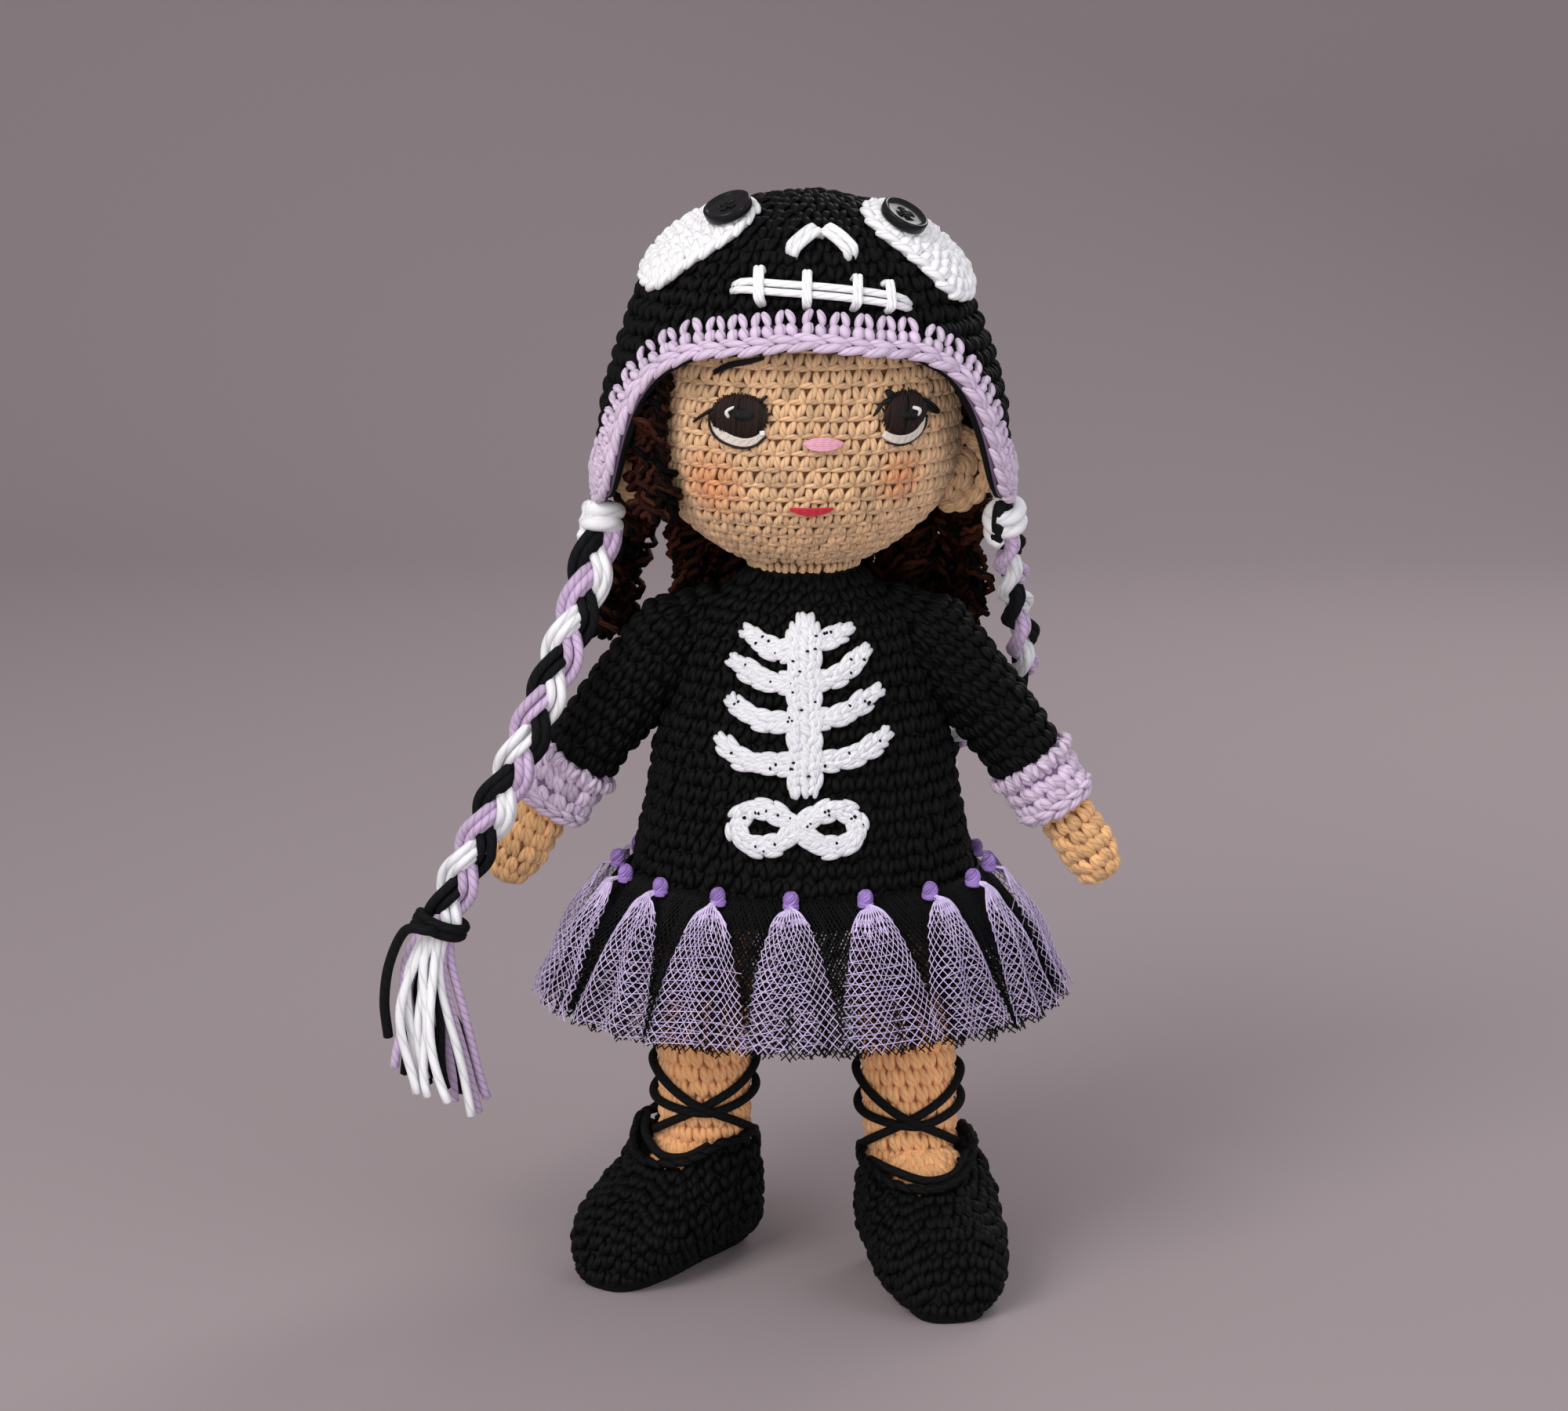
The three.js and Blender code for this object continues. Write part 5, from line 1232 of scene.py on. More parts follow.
for word, spot in button_eyes.items():
    turn, run = hat_run_of(np.array(spot) * MM)
    seat = hat_form.point(turn, run, 0.0024)
    face_way = unit(hat_form.point(turn, run, 0.01) - seat)
    east = unit(np.cross([0, 1, 0], face_way))
    button_axes = np.stack([east, np.cross(face_way, east), face_way])
    points, *rest = button_body()
    d = hole_aside
    threads = []
    for sign in (-1, 1):
        for shift in (-0.00022, 0.00022):
            path = [(-d, -d, 0.0012), (-d * 0.9, -d * 0.9, 0.0022), (shift, -shift, 0.0025),
                    (d * 0.9, d * 0.9, 0.0022), (d, d, 0.0012)]
            path = (np.array(path) + [shift, -shift, 0]) * [1, sign, 1]
            threads.append(smooth_line(path, 12) @ button_axes + seat)
    piece_mesh(
        "button_turned_" + word,
        [(points @ button_axes + seat, *rest),
         cord_chunk(threads, radii=0.00026, sides=6, tone=np.zeros(4), slot=1)],
        [button_black, black_thread], "hat", "button_" + word,
    )


# The stitches on the hat: doubled thick white yarn, drawn through the crown. Two slanted stitches make the
# nose, and one long stitch with four short ones across it makes the mouth.
nose_ways = [[[-3.2, -33.2, 269.4], [-0.4, -31.0, 272.0], [3.2, -28, 274.4]],
             [[4.6, -27.8, 274.4], [8.3, -30.0, 272.1], [11.6, -32.6, 269.0]]]
mouth_ways = [[[-17.9, -36.2, 261.9], [-6.5, -38.6, 260.8], [4.5, -39.5, 260.2], [15.5, -37.2, 258.7],
               [26.5, -33.4, 256.8]]]
cross_ways = [[[-10.4, -36, 265.7], [-10.4, -38.2, 261.8], [-10.4, -40.4, 257.9]],
              [[0.6, -38.1, 264.9], [0.5, -40, 261.1], [0.5, -41.9, 257.4]],
              [[12.3, -37.1, 263.9], [12.2, -38.8, 260.4], [12.2, -40.5, 256.9]],
              [[19.6, -35.1, 262.5], [20.2, -36.7, 259.2], [20.8, -38.3, 256]]]


def hat_stitch(ways, out, seed, spread, radius):
    """Two strands side by side over each way, sunk into the cloth at the ends."""
    rng = np.random.default_rng(seed)
    t = np.linspace(0, 1, 18)
    ends = np.clip(np.minimum(t, 1 - t) / 0.12, 0, 1) ** 0.5
    lines, tones = [], []
    for way in ways:
        turn, run = hat_run_of(smooth_line(np.array(way) * MM, 18))
        flat = hat_form.point(turn, run)
        up = unit(hat_form.point(turn, run, MM) - flat)
        side = unit(np.cross(unit(np.gradient(flat, axis=0)), up))
        for sign in (-1, 1):
            off = sign * spread * (0.6 + 0.4 * ends) + rng.normal(0, 0.0001)
            lines.append(flat + side * off[:, None] + up * (out * ends - 0.0014 * (1 - ends))[:, None])
            tones.append(rng.normal(0, 0.4))
    return cord_chunk(lines, radius, sides=10, tone=tones)


hat_stitches = {
    "hat_nose_stitch": [hat_stitch(nose_ways, out=0.0012, seed=55, spread=0.0011, radius=0.0011)],
    "hat_mouth_stitch": [hat_stitch(mouth_ways, out=0.0011, seed=56, spread=0.0010, radius=0.00095),
                         hat_stitch(cross_ways, out=0.0024, seed=57, spread=0.00055, radius=0.0008)],
}
for node, chunks in hat_stitches.items():
    piece_mesh(node + "_yarn", chunks, [white_yarn], "hat", node)


# The dress: black cotton in rounds of single crochet, a bell with a round neck, and the arms come through at
# the sides. It is slipped over the stuffed body.
dress_low, dress_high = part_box("dress")
dress_shares = [
    [1, 0], [0.955, 0.085], [0.865, 0.33], [0.81, 0.52], [0.74, 0.66], [0.68, 0.8], [0.58, 0.9],
    [0.44, 0.965], [0.36, 1], [0.335, 1.03],
]
dress_half_width = (dress_high[0] - dress_low[0]) / 2
dress_form = Turned(dress_shares, dress_half_width, dress_low[2], dress_high[2] - dress_low[2], 0.85)
black_rounds = dict(wobble=2.1, spread=0.25, tall_share=1.0, skew=0.17)
shoulder = np.array([0.031, 0.0, 0.169])
arm_length, arm_top_angle, arm_tip_angle = 0.081, math.radians(44), math.radians(27)
sleeve_clear = 0.0118


def arm_line(side, count, start, end):
    """The arm's middle line between two lengths from the shoulder."""
    d = np.linspace(start, end, count)
    angle = arm_top_angle + (arm_tip_angle - arm_top_angle) * d / arm_length / 2
    return np.stack([side * (shoulder[0] + d * np.sin(angle)), 0 * d, shoulder[2] - d * np.cos(angle)], 1)


def outside_sleeves(places):
    """Whether places on the dress lie clear of both sleeves."""
    lines = np.concatenate([arm_line(side, 24, 0.0, 0.03) for side in (-1, 1)])
    return np.linalg.norm(places[:, None] - lines, axis=2).min(axis=1) > sleeve_clear


piece_mesh(
    "dress_stitches",
    [crochet(dress_form, 0.0005, dress_form.length - 0.0005, width=0.0042, height=0.0043, radius=0.00110,
             seed=61, keep=outside_sleeves, **black_rounds),
     shell_chunk(dress_form, np.zeros_like, dress_form.length, outer=-0.0018, inner=-0.0029, rows=40)],
    [black_yarn, black_painted_shade], "root", "dress",
)


# The ribcage and the pelvis: strips of white cotton crocheted flat, sewn on the front of the dress. Each
# strip shows two rows of stitches with small gaps where the black shows through.
rib_yarn = yarn_material("white cotton of the bones", (0.80, 0.80, 0.84), dark=0.12, spread=0.05, fuzz=0.12)
# Painted shade: the base under the bones' stitches is a greyer white than their yarn.
rib_painted_shade = yarn_material("white painted shade under the bones' stitches", (0.66, 0.65, 0.69), dark=0.2, spread=0.0)
spine_line = [[0.2, 134.6], [0.3, 150], [0, 164], [0.2, 175.2]]
rib_lines = [
    [[0, 170.0], [-7, 168.8], [-13.6, 172.6]], [[0, 171.0], [6, 171.4], [10.4, 173.2]],
    [[0, 160.6], [-9, 161.3], [-17.0, 165.4]], [[0, 160.6], [9, 163], [14.8, 167.8]],
    [[0, 151.4], [-10, 151.3], [-17.6, 155.2]], [[0, 151.4], [10, 153], [17.8, 158.0]],
    [[0, 140.8], [-14.5, 141.3], [-20.2, 145.6]], [[0, 140.8], [13, 142.6], [20.2, 147.0]],
]
pelvis_loop = [[0, 124.6], [4.6, 128.0], [10, 129.4], [14.2, 127.0], [14.6, 122.3], [10, 119.8], [4.6, 121.0],
               [0, 124.6]]
pelvis_lines = [np.array(pelvis_loop) * [side, 1] - [1.6, 0] for side in (1, -1)]
rib_width, spine_width, pelvis_width = 0.0048, 0.0078, 0.0047


def flat_way(line, count):
    """Places along an (x, z) line given in millimetres, and the ways ahead and across."""
    centre = smooth_line(np.array(line) * MM, count)
    ahead = unit(np.gradient(centre, axis=0))
    return centre, ahead, np.stack([-ahead[:, 1], ahead[:, 0]], 1)


def strip_chunks(line, width, rows, seed, high=0.0010, narrow=0.45):
    """A crocheted strip along (x, z) millimetres on the dress: rows of lobes that lean by turns, an edge of
    longer lobes that swings in and out, small holes between the rows that show the black cloth, and the
    closed thin base under them, coloured as painted shade."""
    rng = np.random.default_rng(seed)
    pitch = 0.0019
    length = runs_along(smooth_line(np.array(line) * MM, 60))[-1]
    count = max(3, round(length / pitch))
    centre, ahead, across = flat_way(line, count)
    number = np.arange(count)
    pinch = np.clip(narrow + 0.45 * number[::-1, None], 0, 1)
    chunks = []

    def lay(places, way, lobe, lean, radius, rise, slot=0):
        chunks.append(flat_lobes(places, way, lobe, lean, dress_form.front, radius, rise, rng, slot))

    for row in range(rows):
        offset = (row - (rows - 1) / 2) * (width - 0.0016) / rows
        places = centre + across * offset * pinch + rng.normal(0, 0.00018, centre.shape)
        lean = np.where(number % 3 == row % 3, 0.75, 0.15) * (1 if row % 2 else -1)
        lay(places, ahead, 0.0040, lean, 0.00112, high)
    swing = 0.0005 * np.sin(number * pitch / 0.0047 * 2 * np.pi + rng.uniform(0, 6))[:, None]
    for sign in (-1, 1):
        half = (width / 2 - 0.0007) * (1 + rng.normal(0, 0.03, (count, 1))) + swing
        lay(centre + across * sign * half * pinch, ahead, 0.0044, 0.10 * sign, 0.00100, high - 0.0001)
    spots = rng.uniform(0.05, 0.95, max(3, round(length / 0.0040))) * (count - 1)
    way = look_up(spots, number, across)
    aside = rng.choice(np.arange(rows + 1) - rows / 2, len(spots))[:, None] * (width - 0.0026) / rows
    lay(look_up(spots, number, centre) + way * aside, way, 0.0007, 0.0, 0.00034, high + 0.00105, 2)
    centre, _, across = flat_way(line, 24)
    half = np.full((24, 1), width / 2 - 0.0008)
    half[[0, -1]] *= 0.4
    edges = [(-1, -0.0006), (-1, high + 0.0006), (1, high + 0.0006), (1, -0.0006)]
    rings = [dress_form.front(*(centre + across * sign * half).T, np.full(24, out)) for sign, out in edges]
    return [*chunks, skin_chunk(np.stack(rings, 1))]


bones = {
    "ribcage": [*((line, rib_width, 2, 62 + k, 0.0010) for k, line in enumerate(rib_lines)),
                (spine_line, spine_width, 3, 71, 0.0014)],
    "pelvis": [(line, pelvis_width, 2, 75 + k, 0.0010, 1.0) for k, line in enumerate(pelvis_lines)],
}
for word, strips in bones.items():
    chunks = [chunk for strip in strips for chunk in strip_chunks(*strip)]
    piece_mesh(word + "_stitches", chunks, [rib_yarn, rib_painted_shade, black_painted_shade], "root", word + "_patch")


# The sleeves, cuffs and arms: black tubes of single crochet, lilac cuffs sewn to their ends with the edging
# turned up the sleeve, and stuffed arms of tan cotton that end in plain round hands.
skin_arm = yarn_material("tan cotton yarn of the arms", (0.86, 0.50, 0.23), dark=0.32, spread=0.16,
                         fuzz=0.25)
sleeve_length, cuff_length = 0.044, 0.0155
cuff_around = 2 * np.pi * 0.0111


def on_cuff(form, rise, sink, along, up, out):
    """A place on a cuff, from the length round it and the width above its open end."""
    turn = np.asarray(along) / cuff_around * 2 * np.pi
    return form.point(turn, np.clip(form.length - up - rise, 0, form.length), out - sink)


for word, side in sides.items():
    seed = 81 + side
    sleeve_path = np.vstack([[side * 0.0215, 0, 0.1785], [side * 0.0245, 0, 0.1760],
                             arm_line(side, 20, 0.0, sleeve_length)])
    total = runs_along(smooth_line(sleeve_path, 100))[-1]
    widths = np.array([[-0.0045, 0.0095], [0.0, 0.0127], [0.010, 0.0122], [0.030, 0.0113]])
    widths[:, 0] = (total - sleeve_length + widths[:, 0]) / total
    form = Limb(sleeve_path, [[0, 0.0045], *widths, [1, 0.0105]])
    piece_mesh(
        "sleeve_stitches_" + word,
        [crochet(form, 0.0, form.length - 0.0003, width=0.0042, height=0.0043, radius=0.00110, seed=seed,
                 **black_rounds),
         base_chunk(form, 0.0, form.length, out=-0.0018, columns=40, rows=24)],
        [black_yarn, black_painted_shade], "arm_" + word, "sleeve_" + word,
    )
    cuff_path = arm_line(side, 16, sleeve_length - 0.0015, sleeve_length + cuff_length)
    form = Limb(cuff_path, [[0, 0.0110], [0.3, 0.0114], [0.7, 0.0110], [0.9, 0.0099], [1, 0.0090]])
    end = form.length
    ridge = functools.partial(on_cuff, form, -0.0004, 0.0010)
    picots = functools.partial(on_cuff, form, 0.0066, 0.0006)
    piece_mesh(
        "cuff_stitches_" + word,
        [edging(ridge, cuff_around, seed + 3, scale=0.92, rows=("ridge",)),
         edging(picots, cuff_around, seed + 2, scale=0.85, rows=("picots",)),
         crochet(form, end - 0.0150, end - 0.0024, width=0.0052, height=0.0042, radius=0.00155,
                 seed=seed + 4, lift=0.0008, skew=0.20, wobble=1.8),
         base_chunk(form, 0.002, end, out=-0.0016, columns=40, rows=12)],
        [lilac_yarn, lilac_painted_shade], "arm_" + word, "cuff_" + word,
    )
    hand_path = arm_line(side, 20, sleeve_length + cuff_length - 0.006, arm_length + 0.001)
    hand_path[:, 0] += side * np.linspace(0, 0.0016, 20)
    form = Limb(hand_path, [[0, 0.0072], [0.35, 0.0077], [0.55, 0.0080], [0.75, 0.0077], [0.9, 0.0062],
                            [0.97, 0.0040], [1, 0.0]])
    piece_mesh(
        "arm_stitches_" + word,
        [crochet(form, 0.0, form.length - 0.001, width=0.0040, height=0.0040, radius=0.00122,
                 seed=seed + 5, wobble=1.8, skew=0.18),
         base_chunk(form, 0.0, form.length * 0.99, out=-0.0017, columns=32, rows=20)],
        [skin_arm, skin_painted_shade], "arm_" + word, "arm_" + word,
    )


# The legs: stuffed tubes of peach cotton in rounds of single crochet. The foot fills the slipper, and the top
# is sewn to the body under the skirt.
# The peach yarn's own colour, made lighter as painted light against the skirt's shadow on the legs.
peach_yarn_with_painted_light = yarn_material("peach cotton yarn with painted light", (1.0, 0.53, 0.24), dark=0.24, spread=0.12, fuzz=0.2)
# Painted shade: a much darker peach than the yarn, for the shade in the holes between stitches.
peach_painted_shade = holes("peach painted shade", (0.34, 0.15, 0.06))
hip = np.array([0.0262, 0.0, 0.1])
ankle_places = {"right": np.array([-0.0262, 0.0, 0.015]), "left": np.array([0.0292, -0.016, 0.015])}
foot_turns = {"right": math.radians(-38), "left": math.radians(10)}
shoe_asides = {"right": -0.0015, "left": 0.0021}
shoe_length, shoe_width, shoe_ankle_height, heel_back = 0.059, 0.037, 0.040, 0.0155
shoe_height_shares = np.array([[0, .25], [.03, .55], [.1, .85], [.22, 1], [.42, .97], [.55, .78], [.68, .66],
                               [.82, .56], [.93, .42], [.98, .28], [1, .16]])
mouth_ahead, mouth_length, mouth_width = 0.0041, 0.018, 0.014
leg_radii = [[0, 0.0123], [0.5, 0.0130], [0.85, 0.0133], [0.97, 0.0133], [1, 0.0125]]


def foot_ways(word):
    """The level ways ahead along a foot and across it."""
    turn = foot_turns[word]
    return np.array([[math.sin(turn), -math.cos(turn), 0], [math.cos(turn), math.sin(turn), 0]])


def shoe_place(word, ahead, across, up):
    """A place in a foot's own frame: ahead along the sole from the ankle, across it, and up."""
    flat = ankle_places[word] * [1, 1, 0] + [shoe_asides[word], 0, 0]
    return flat + np.stack([ahead, across, up], -1) @ np.vstack([foot_ways(word), [0, 0, 1]])


class Shoe:
    """The slipper's skin, worked in rounds from the sole up: point(turn, run, out) with turn round the sole's
    outline from the toe, and run the length up the skin from the floor. A section across the slipper is a
    rounded box, |across / half|^2.5 + |2 up / top - 1|^2.5 = 1; its half width and top change to the toe."""

    def __init__(self, word):
        self.word = word
        self.share = np.linspace(0, 1, 400)
        from_widest = (self.share - 0.42) / np.where(self.share > 0.42, 0.58, 0.42)
        self.half = np.sqrt(np.maximum(1 - 0.99 * np.abs(from_widest) ** 4, 0)) * shoe_width / 2
        top = np.interp(self.share, *shoe_height_shares.T) * shoe_ankle_height
        round_end = np.sqrt(np.clip(1 - (np.abs(self.share - 0.5) * 2) ** 14, 0, 1))
        self.top = softened(top, 31) * (0.35 + 0.65 * round_end)
        # Rays from a heart inside the slipper meet its skin where halving their reach ends.
        around = np.linspace(-np.pi, np.pi, 181)[:, None]
        rise = np.linspace(-0.49 * np.pi, 0.5 * np.pi, 160)[None]
        rays = [np.cos(rise) * np.cos(around), np.cos(rise) * np.sin(around), np.sin(rise) + 0 * around]
        rays = np.stack(rays, -1)
        heart = np.array([0.003, 0.0, 0.012])
        near, far = np.zeros(rays.shape[:2]), np.full(rays.shape[:2], 0.07)
        for _ in range(26):
            reach = (near + far) / 2
            inside = self.inside(heart + rays * reach[..., None])
            near, far = np.where(inside, reach, near), np.where(inside, far, reach)
        columns = [line[np.argmax(line[:, 2] > 0.0014):] for line in heart + rays * near[..., None]]
        self.length = max(runs_along(line)[-1] for line in columns)
        runs = np.linspace(0, self.length, 121)
        grid = np.array([look_up(runs, runs_along(line), line) for line in columns])
        outline = runs_along(grid[:, 12])
        self.outline = outline[-1]
        even = np.linspace(0, self.outline, 181)
        self.grid = np.stack([look_up(even, outline, ring) for ring in grid.transpose(1, 0, 2)], 1)
        d_turn = np.gradient(self.grid, axis=0)
        d_turn[0] = d_turn[-1] = self.grid[1] - self.grid[-2]
        self.normals = unit(np.cross(d_turn, np.gradient(self.grid, axis=1)) + 1e-12)

    def inside(self, places):
        share = (places[..., 0] + heel_back) / shoe_length
        half = np.interp(share, self.share, self.half)
        top = np.interp(share, self.share, self.top)
        body = np.abs(places[..., 1] / half) ** 2.5 + np.abs(2 * places[..., 2] / top - 1) ** 2.5
        return (body < 1) & (share > 0) & (share < 1)

    def over(self, ahead, across):
        """The height of the skin's upper side over a place on the sole."""
        share = (ahead + heel_back) / shoe_length
        lateral = np.clip(np.abs(across) / np.interp(share, self.share, self.half), 0, 0.999)
        return np.interp(share, self.share, self.top) * (0.5 + 0.5 * (1 - lateral**2.5) ** 0.4)

    def point(self, turn, run, out=0.0):
        turn, run, out = np.broadcast_arrays(turn, run, out)
        i = ((turn / (2 * np.pi) + 0.5) % 1.0) * 180
        j = np.clip(run / self.length, 0, 1) * 120
        i0, j0 = np.minimum(i.astype(int), 179), np.minimum(j.astype(int), 119)
        u, v = (i - i0)[..., None], (j - j0)[..., None]

        def mix(grid):
            low = grid[i0, j0] * (1 - u) + grid[i0 + 1, j0] * u
            return low * (1 - v) + (grid[i0, j0 + 1] * (1 - u) + grid[i0 + 1, j0 + 1] * u) * v

        place = mix(self.grid) + unit(mix(self.normals)) * out[..., None]
        return shoe_place(self.word, *np.moveaxis(place, -1, 0))

    def around(self, run):
        return self.outline * (1 - 0.35 * run / self.length)


def leg_line(word, shares):
    """Places on a leg's middle line, at shares of the way from the ankle to the hip."""
    top = np.array([math.copysign(hip[0], ankle_places[word][0]), 0, hip[2]])
    return ankle_places[word] + (top - ankle_places[word]) * shares[:, None]


def inside_mouth(word, places, margin):
    """Whether places lie in the slipper's oval mouth."""
    flat = (places - ankle_places[word])[..., :2] @ foot_ways(word)[:, :2].T
    a, b = flat[..., 0] - mouth_ahead, flat[..., 1]
    inside = (a / (mouth_length + margin)) ** 2 + (b / (mouth_width + margin)) ** 2 < 1
    return inside & (places[..., 2] > 0.012)


shoe_forms = {word: Shoe(word) for word in ("right", "left")}
for word, side in sides.items():
    form, shoe_form = Limb(leg_line(word, np.linspace(-0.03, 1.0, 30)), leg_radii), shoe_forms[word]

    def instep(places, word=word):
        """Whether places on the foot show in the mouth, clear of the leg."""
        off_leg = np.linalg.norm((places - ankle_places[word])[:, :2], axis=1) > 0.009
        return inside_mouth(word, places, -0.0012) & off_leg

    piece_mesh(
        "leg_stitches_" + word,
        [crochet(form, 0.012, form.length, width=0.0041, height=0.0043, radius=0.00120, seed=90 + side),
         base_chunk(form, 0.0, form.length, out=-0.0018, columns=48, rows=24),
         crochet(shoe_form, 0.010, shoe_form.length, width=0.0041, height=0.0043, radius=0.00108,
                 seed=92 + side, keep=instep, sink=0.0034),
         base_chunk(shoe_form, 0.001, shoe_form.length, out=-0.0052, columns=72, rows=24)],
        [peach_yarn_with_painted_light, peach_painted_shade], "leg_" + word, "leg_" + word,
    )


# The slippers: black cotton in rounds of single crochet, open over the instep, with a rim of slanted
# stitches. The laces go through the rim.
columns, rows = 96, 40
turn = 2 * np.pi * np.arange(columns) / columns
rim_angle = np.linspace(0, 2 * np.pi, 73)
for word, side in sides.items():
    form = shoe_forms[word]

    def outside_mouth(places, word=word):
        return ~inside_mouth(word, places, -0.0008)

    rim_ahead = mouth_ahead + 0.0182 * np.cos(rim_angle) - shoe_asides[word] * math.sin(foot_turns[word])
    rim_across = 0.0142 * np.sin(rim_angle) - shoe_asides[word] * math.cos(foot_turns[word])
    rim = shoe_place(word, rim_ahead, rim_across, form.over(rim_ahead, rim_across) + 0.0002)
    rim_runs = runs_along(rim)
    lobes = round(rim_runs[-1] / 0.0042)
    t = np.linspace(-1, 1, 9)
    rim_at = np.arange(lobes)[:, None] / lobes * rim_runs[-1] + 0.0032 * t
    centre = look_up(np.mod(rim_at, rim_runs[-1]), rim_runs, rim)
    outward = unit((centre - rim[:-1].mean(0)) * [1, 1, 0])
    rim_paths = centre + outward * (0.0004 + 0.0007 * t)[:, None]
    rim_paths[..., 2] += 0.0012 - 0.0009 * t**2
    rim_tones = np.random.default_rng(95).normal(0, 0.4, lobes)
    run = np.linspace(0.0, form.length, rows)[:, None]
    skin = form.point(turn, run, -0.0018)
    opening = inside_mouth(word, skin, -0.0020)
    skin[opening] = form.point(turn, run, -0.0060)[opening]
    sole = skin[:1] * [1, 1, 0] + [0, 0, 0.0003]
    piece_mesh(
        "shoe_stitches_" + word,
        [crochet(form, 0.0, form.length, width=0.0044, height=0.0043, radius=0.00122, seed=96 + side,
                 keep=outside_mouth, wobble=2.0, spread=0.24, tall_share=1.02, skew=0.15),
         cord_chunk(rim_paths, 0.00130 * np.cos(t * 1.3) ** 0.5, sides=7, tone=rim_tones, up=(0, 0, 1)),
         skin_chunk(np.concatenate([sole, skin]))],
        [black_yarn, black_painted_shade], "leg_" + word, "shoe_" + word,
    )


# The laces: black twisted cord from the slipper's rim, crossed in front of the ankle and round the leg. The
# last strand lies across the foot, between the two sides of the rim.
lace_cross = [[0, 33.0], [0.32, 43.6], [0.62, 53.0], [1, 54.5]]
lace_ring = [[0, 42.0], [0.25, 46.4], [0.5, 48.0], [0.75, 43.6], [1, 42.0]]
# Each strand: the turns in degrees where it starts and ends, its heights, and how far it lies over others.
lace_strands = ((-84, 180, lace_cross, 0.0), (84, -180, lace_cross, 0.0017), (8, 368, lace_ring, 0.0012))
for word in ("right", "left"):
    lines = []
    for first, last, heights, over in lace_strands:
        t = np.linspace(0, 1, 64)
        z = np.interp(t, *np.transpose(heights)) * MM
        z = np.convolve(np.pad(z, 4, mode="edge"), np.ones(9) / 9, mode="valid")
        share = (z - ankle_places[word][2]) / (hip[2] - ankle_places[word][2])
        turn = np.radians(first + (last - first) * t)
        radius = 0.0132 + 0.001 * np.clip(share * 1.4, 0, 1)
        radius = radius + over * np.exp(-(from_front(turn) / 0.45) ** 2)
        off = np.stack([radius * np.sin(turn), -radius * np.cos(turn), 0 * turn], 1)
        lines.append(leg_line(word, share) + off)
    aside = shoe_asides[word] * np.array([math.sin(foot_turns[word]), math.cos(foot_turns[word])])
    ahead = mouth_ahead + np.array([0.004, 0.0105, 0.0140, 0.0130, 0.0085]) - aside[0]
    across = np.array([-0.0135, -0.0085, -0.0005, 0.0070, 0.0118]) - aside[1]
    high = shoe_forms[word].over(ahead, across) + np.array([0.0012, 0.0002, -0.0005, 0.0000, 0.0012])
    lines.append(smooth_line(shoe_place(word, ahead, across, high), 64))
    a = np.linspace(0.3, 5.9, 14)
    bow = lines[0][-1] + np.stack([np.cos(a) * 0.0022, np.sin(a) * 0.0022 - 0.0002, 0.001 * np.sin(2 * a)], 1)
    piece_mesh(
        "lace_cord_" + word,
        [cord_chunk(lines, radii=0.00120, sides=10, tone=[0.2, -0.2, 0.1, 0.0]),
         cord_chunk([smooth_line(bow, 24)], radii=0.0011, sides=10, tone=[0.0])],
        [black_cord], "leg_" + word, "lace_" + word,
    )


# The body inside: tan crochet that shows only at the neck, and the plain bag of filling under the dress. The
# head, the arms and the legs are sewn to it.
neck_low, neck_high = 0.1795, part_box("torso")[1][2] + 0.0008
neck_shares = [[1.02, 0], [1, 0.3], [1.04, 0.7], [1.20, 1]]
neck_form = Turned(neck_shares, 0.0130, neck_low, neck_high - neck_low, 0.88)
piece_mesh(
    "neck_stitches",
    [crochet(neck_form, 0.0, neck_form.length, width=0.0039, height=0.0038, radius=0.00102, seed=99),
     base_chunk(neck_form, 0.0, neck_form.length, out=-0.0015, columns=40, rows=8),
     base_chunk(dress_form, 0.008, dress_form.length - 0.001, out=-0.0040, columns=48, rows=24, slot=0)],
    [skin_yarn, skin_painted_shade], "root", "torso",
)


# The skirt's black net: four gathered layers of soft tulle, sewn inside the hem of the dress. The threads
# cross at a right angle and lie on the slant; the lower edge is cut and left raw.
tutu_low, tutu_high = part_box("tutu_underlayer")
tutu_top, tutu_hem = tutu_high[2], tutu_low[2]
tutu_top_radius = np.interp(tutu_top, dress_form.line[:, 1], dress_form.line[:, 0]) + 0.00035
tutu_hem_radius = tutu_high[0] - 0.0026
black_net = yarn_material("black tulle thread", (0.004, 0.004, 0.005), plies=1, twists=0, dark=0.0,
                          spread=0.4, fuzz=0.2, roughness=0.55, sheen=0.0, specular=0.15)


def skirt_point(turn, share, lift):
    """A place on the flaring skirt from its turn, the share of the way down, and the height off it."""
    r = tutu_top_radius + (tutu_hem_radius - tutu_top_radius) * np.maximum(share, 0) ** 0.85 + lift
    blend = np.clip(share * 2, 0, 1)
    flat = 0.85 + 0.09 * blend**2 * (3 - 2 * blend)
    z = tutu_top + (tutu_hem - tutu_top) * share
    return np.stack([r * np.sin(turn), -r * flat * np.cos(turn), z + 0 * r], -1)


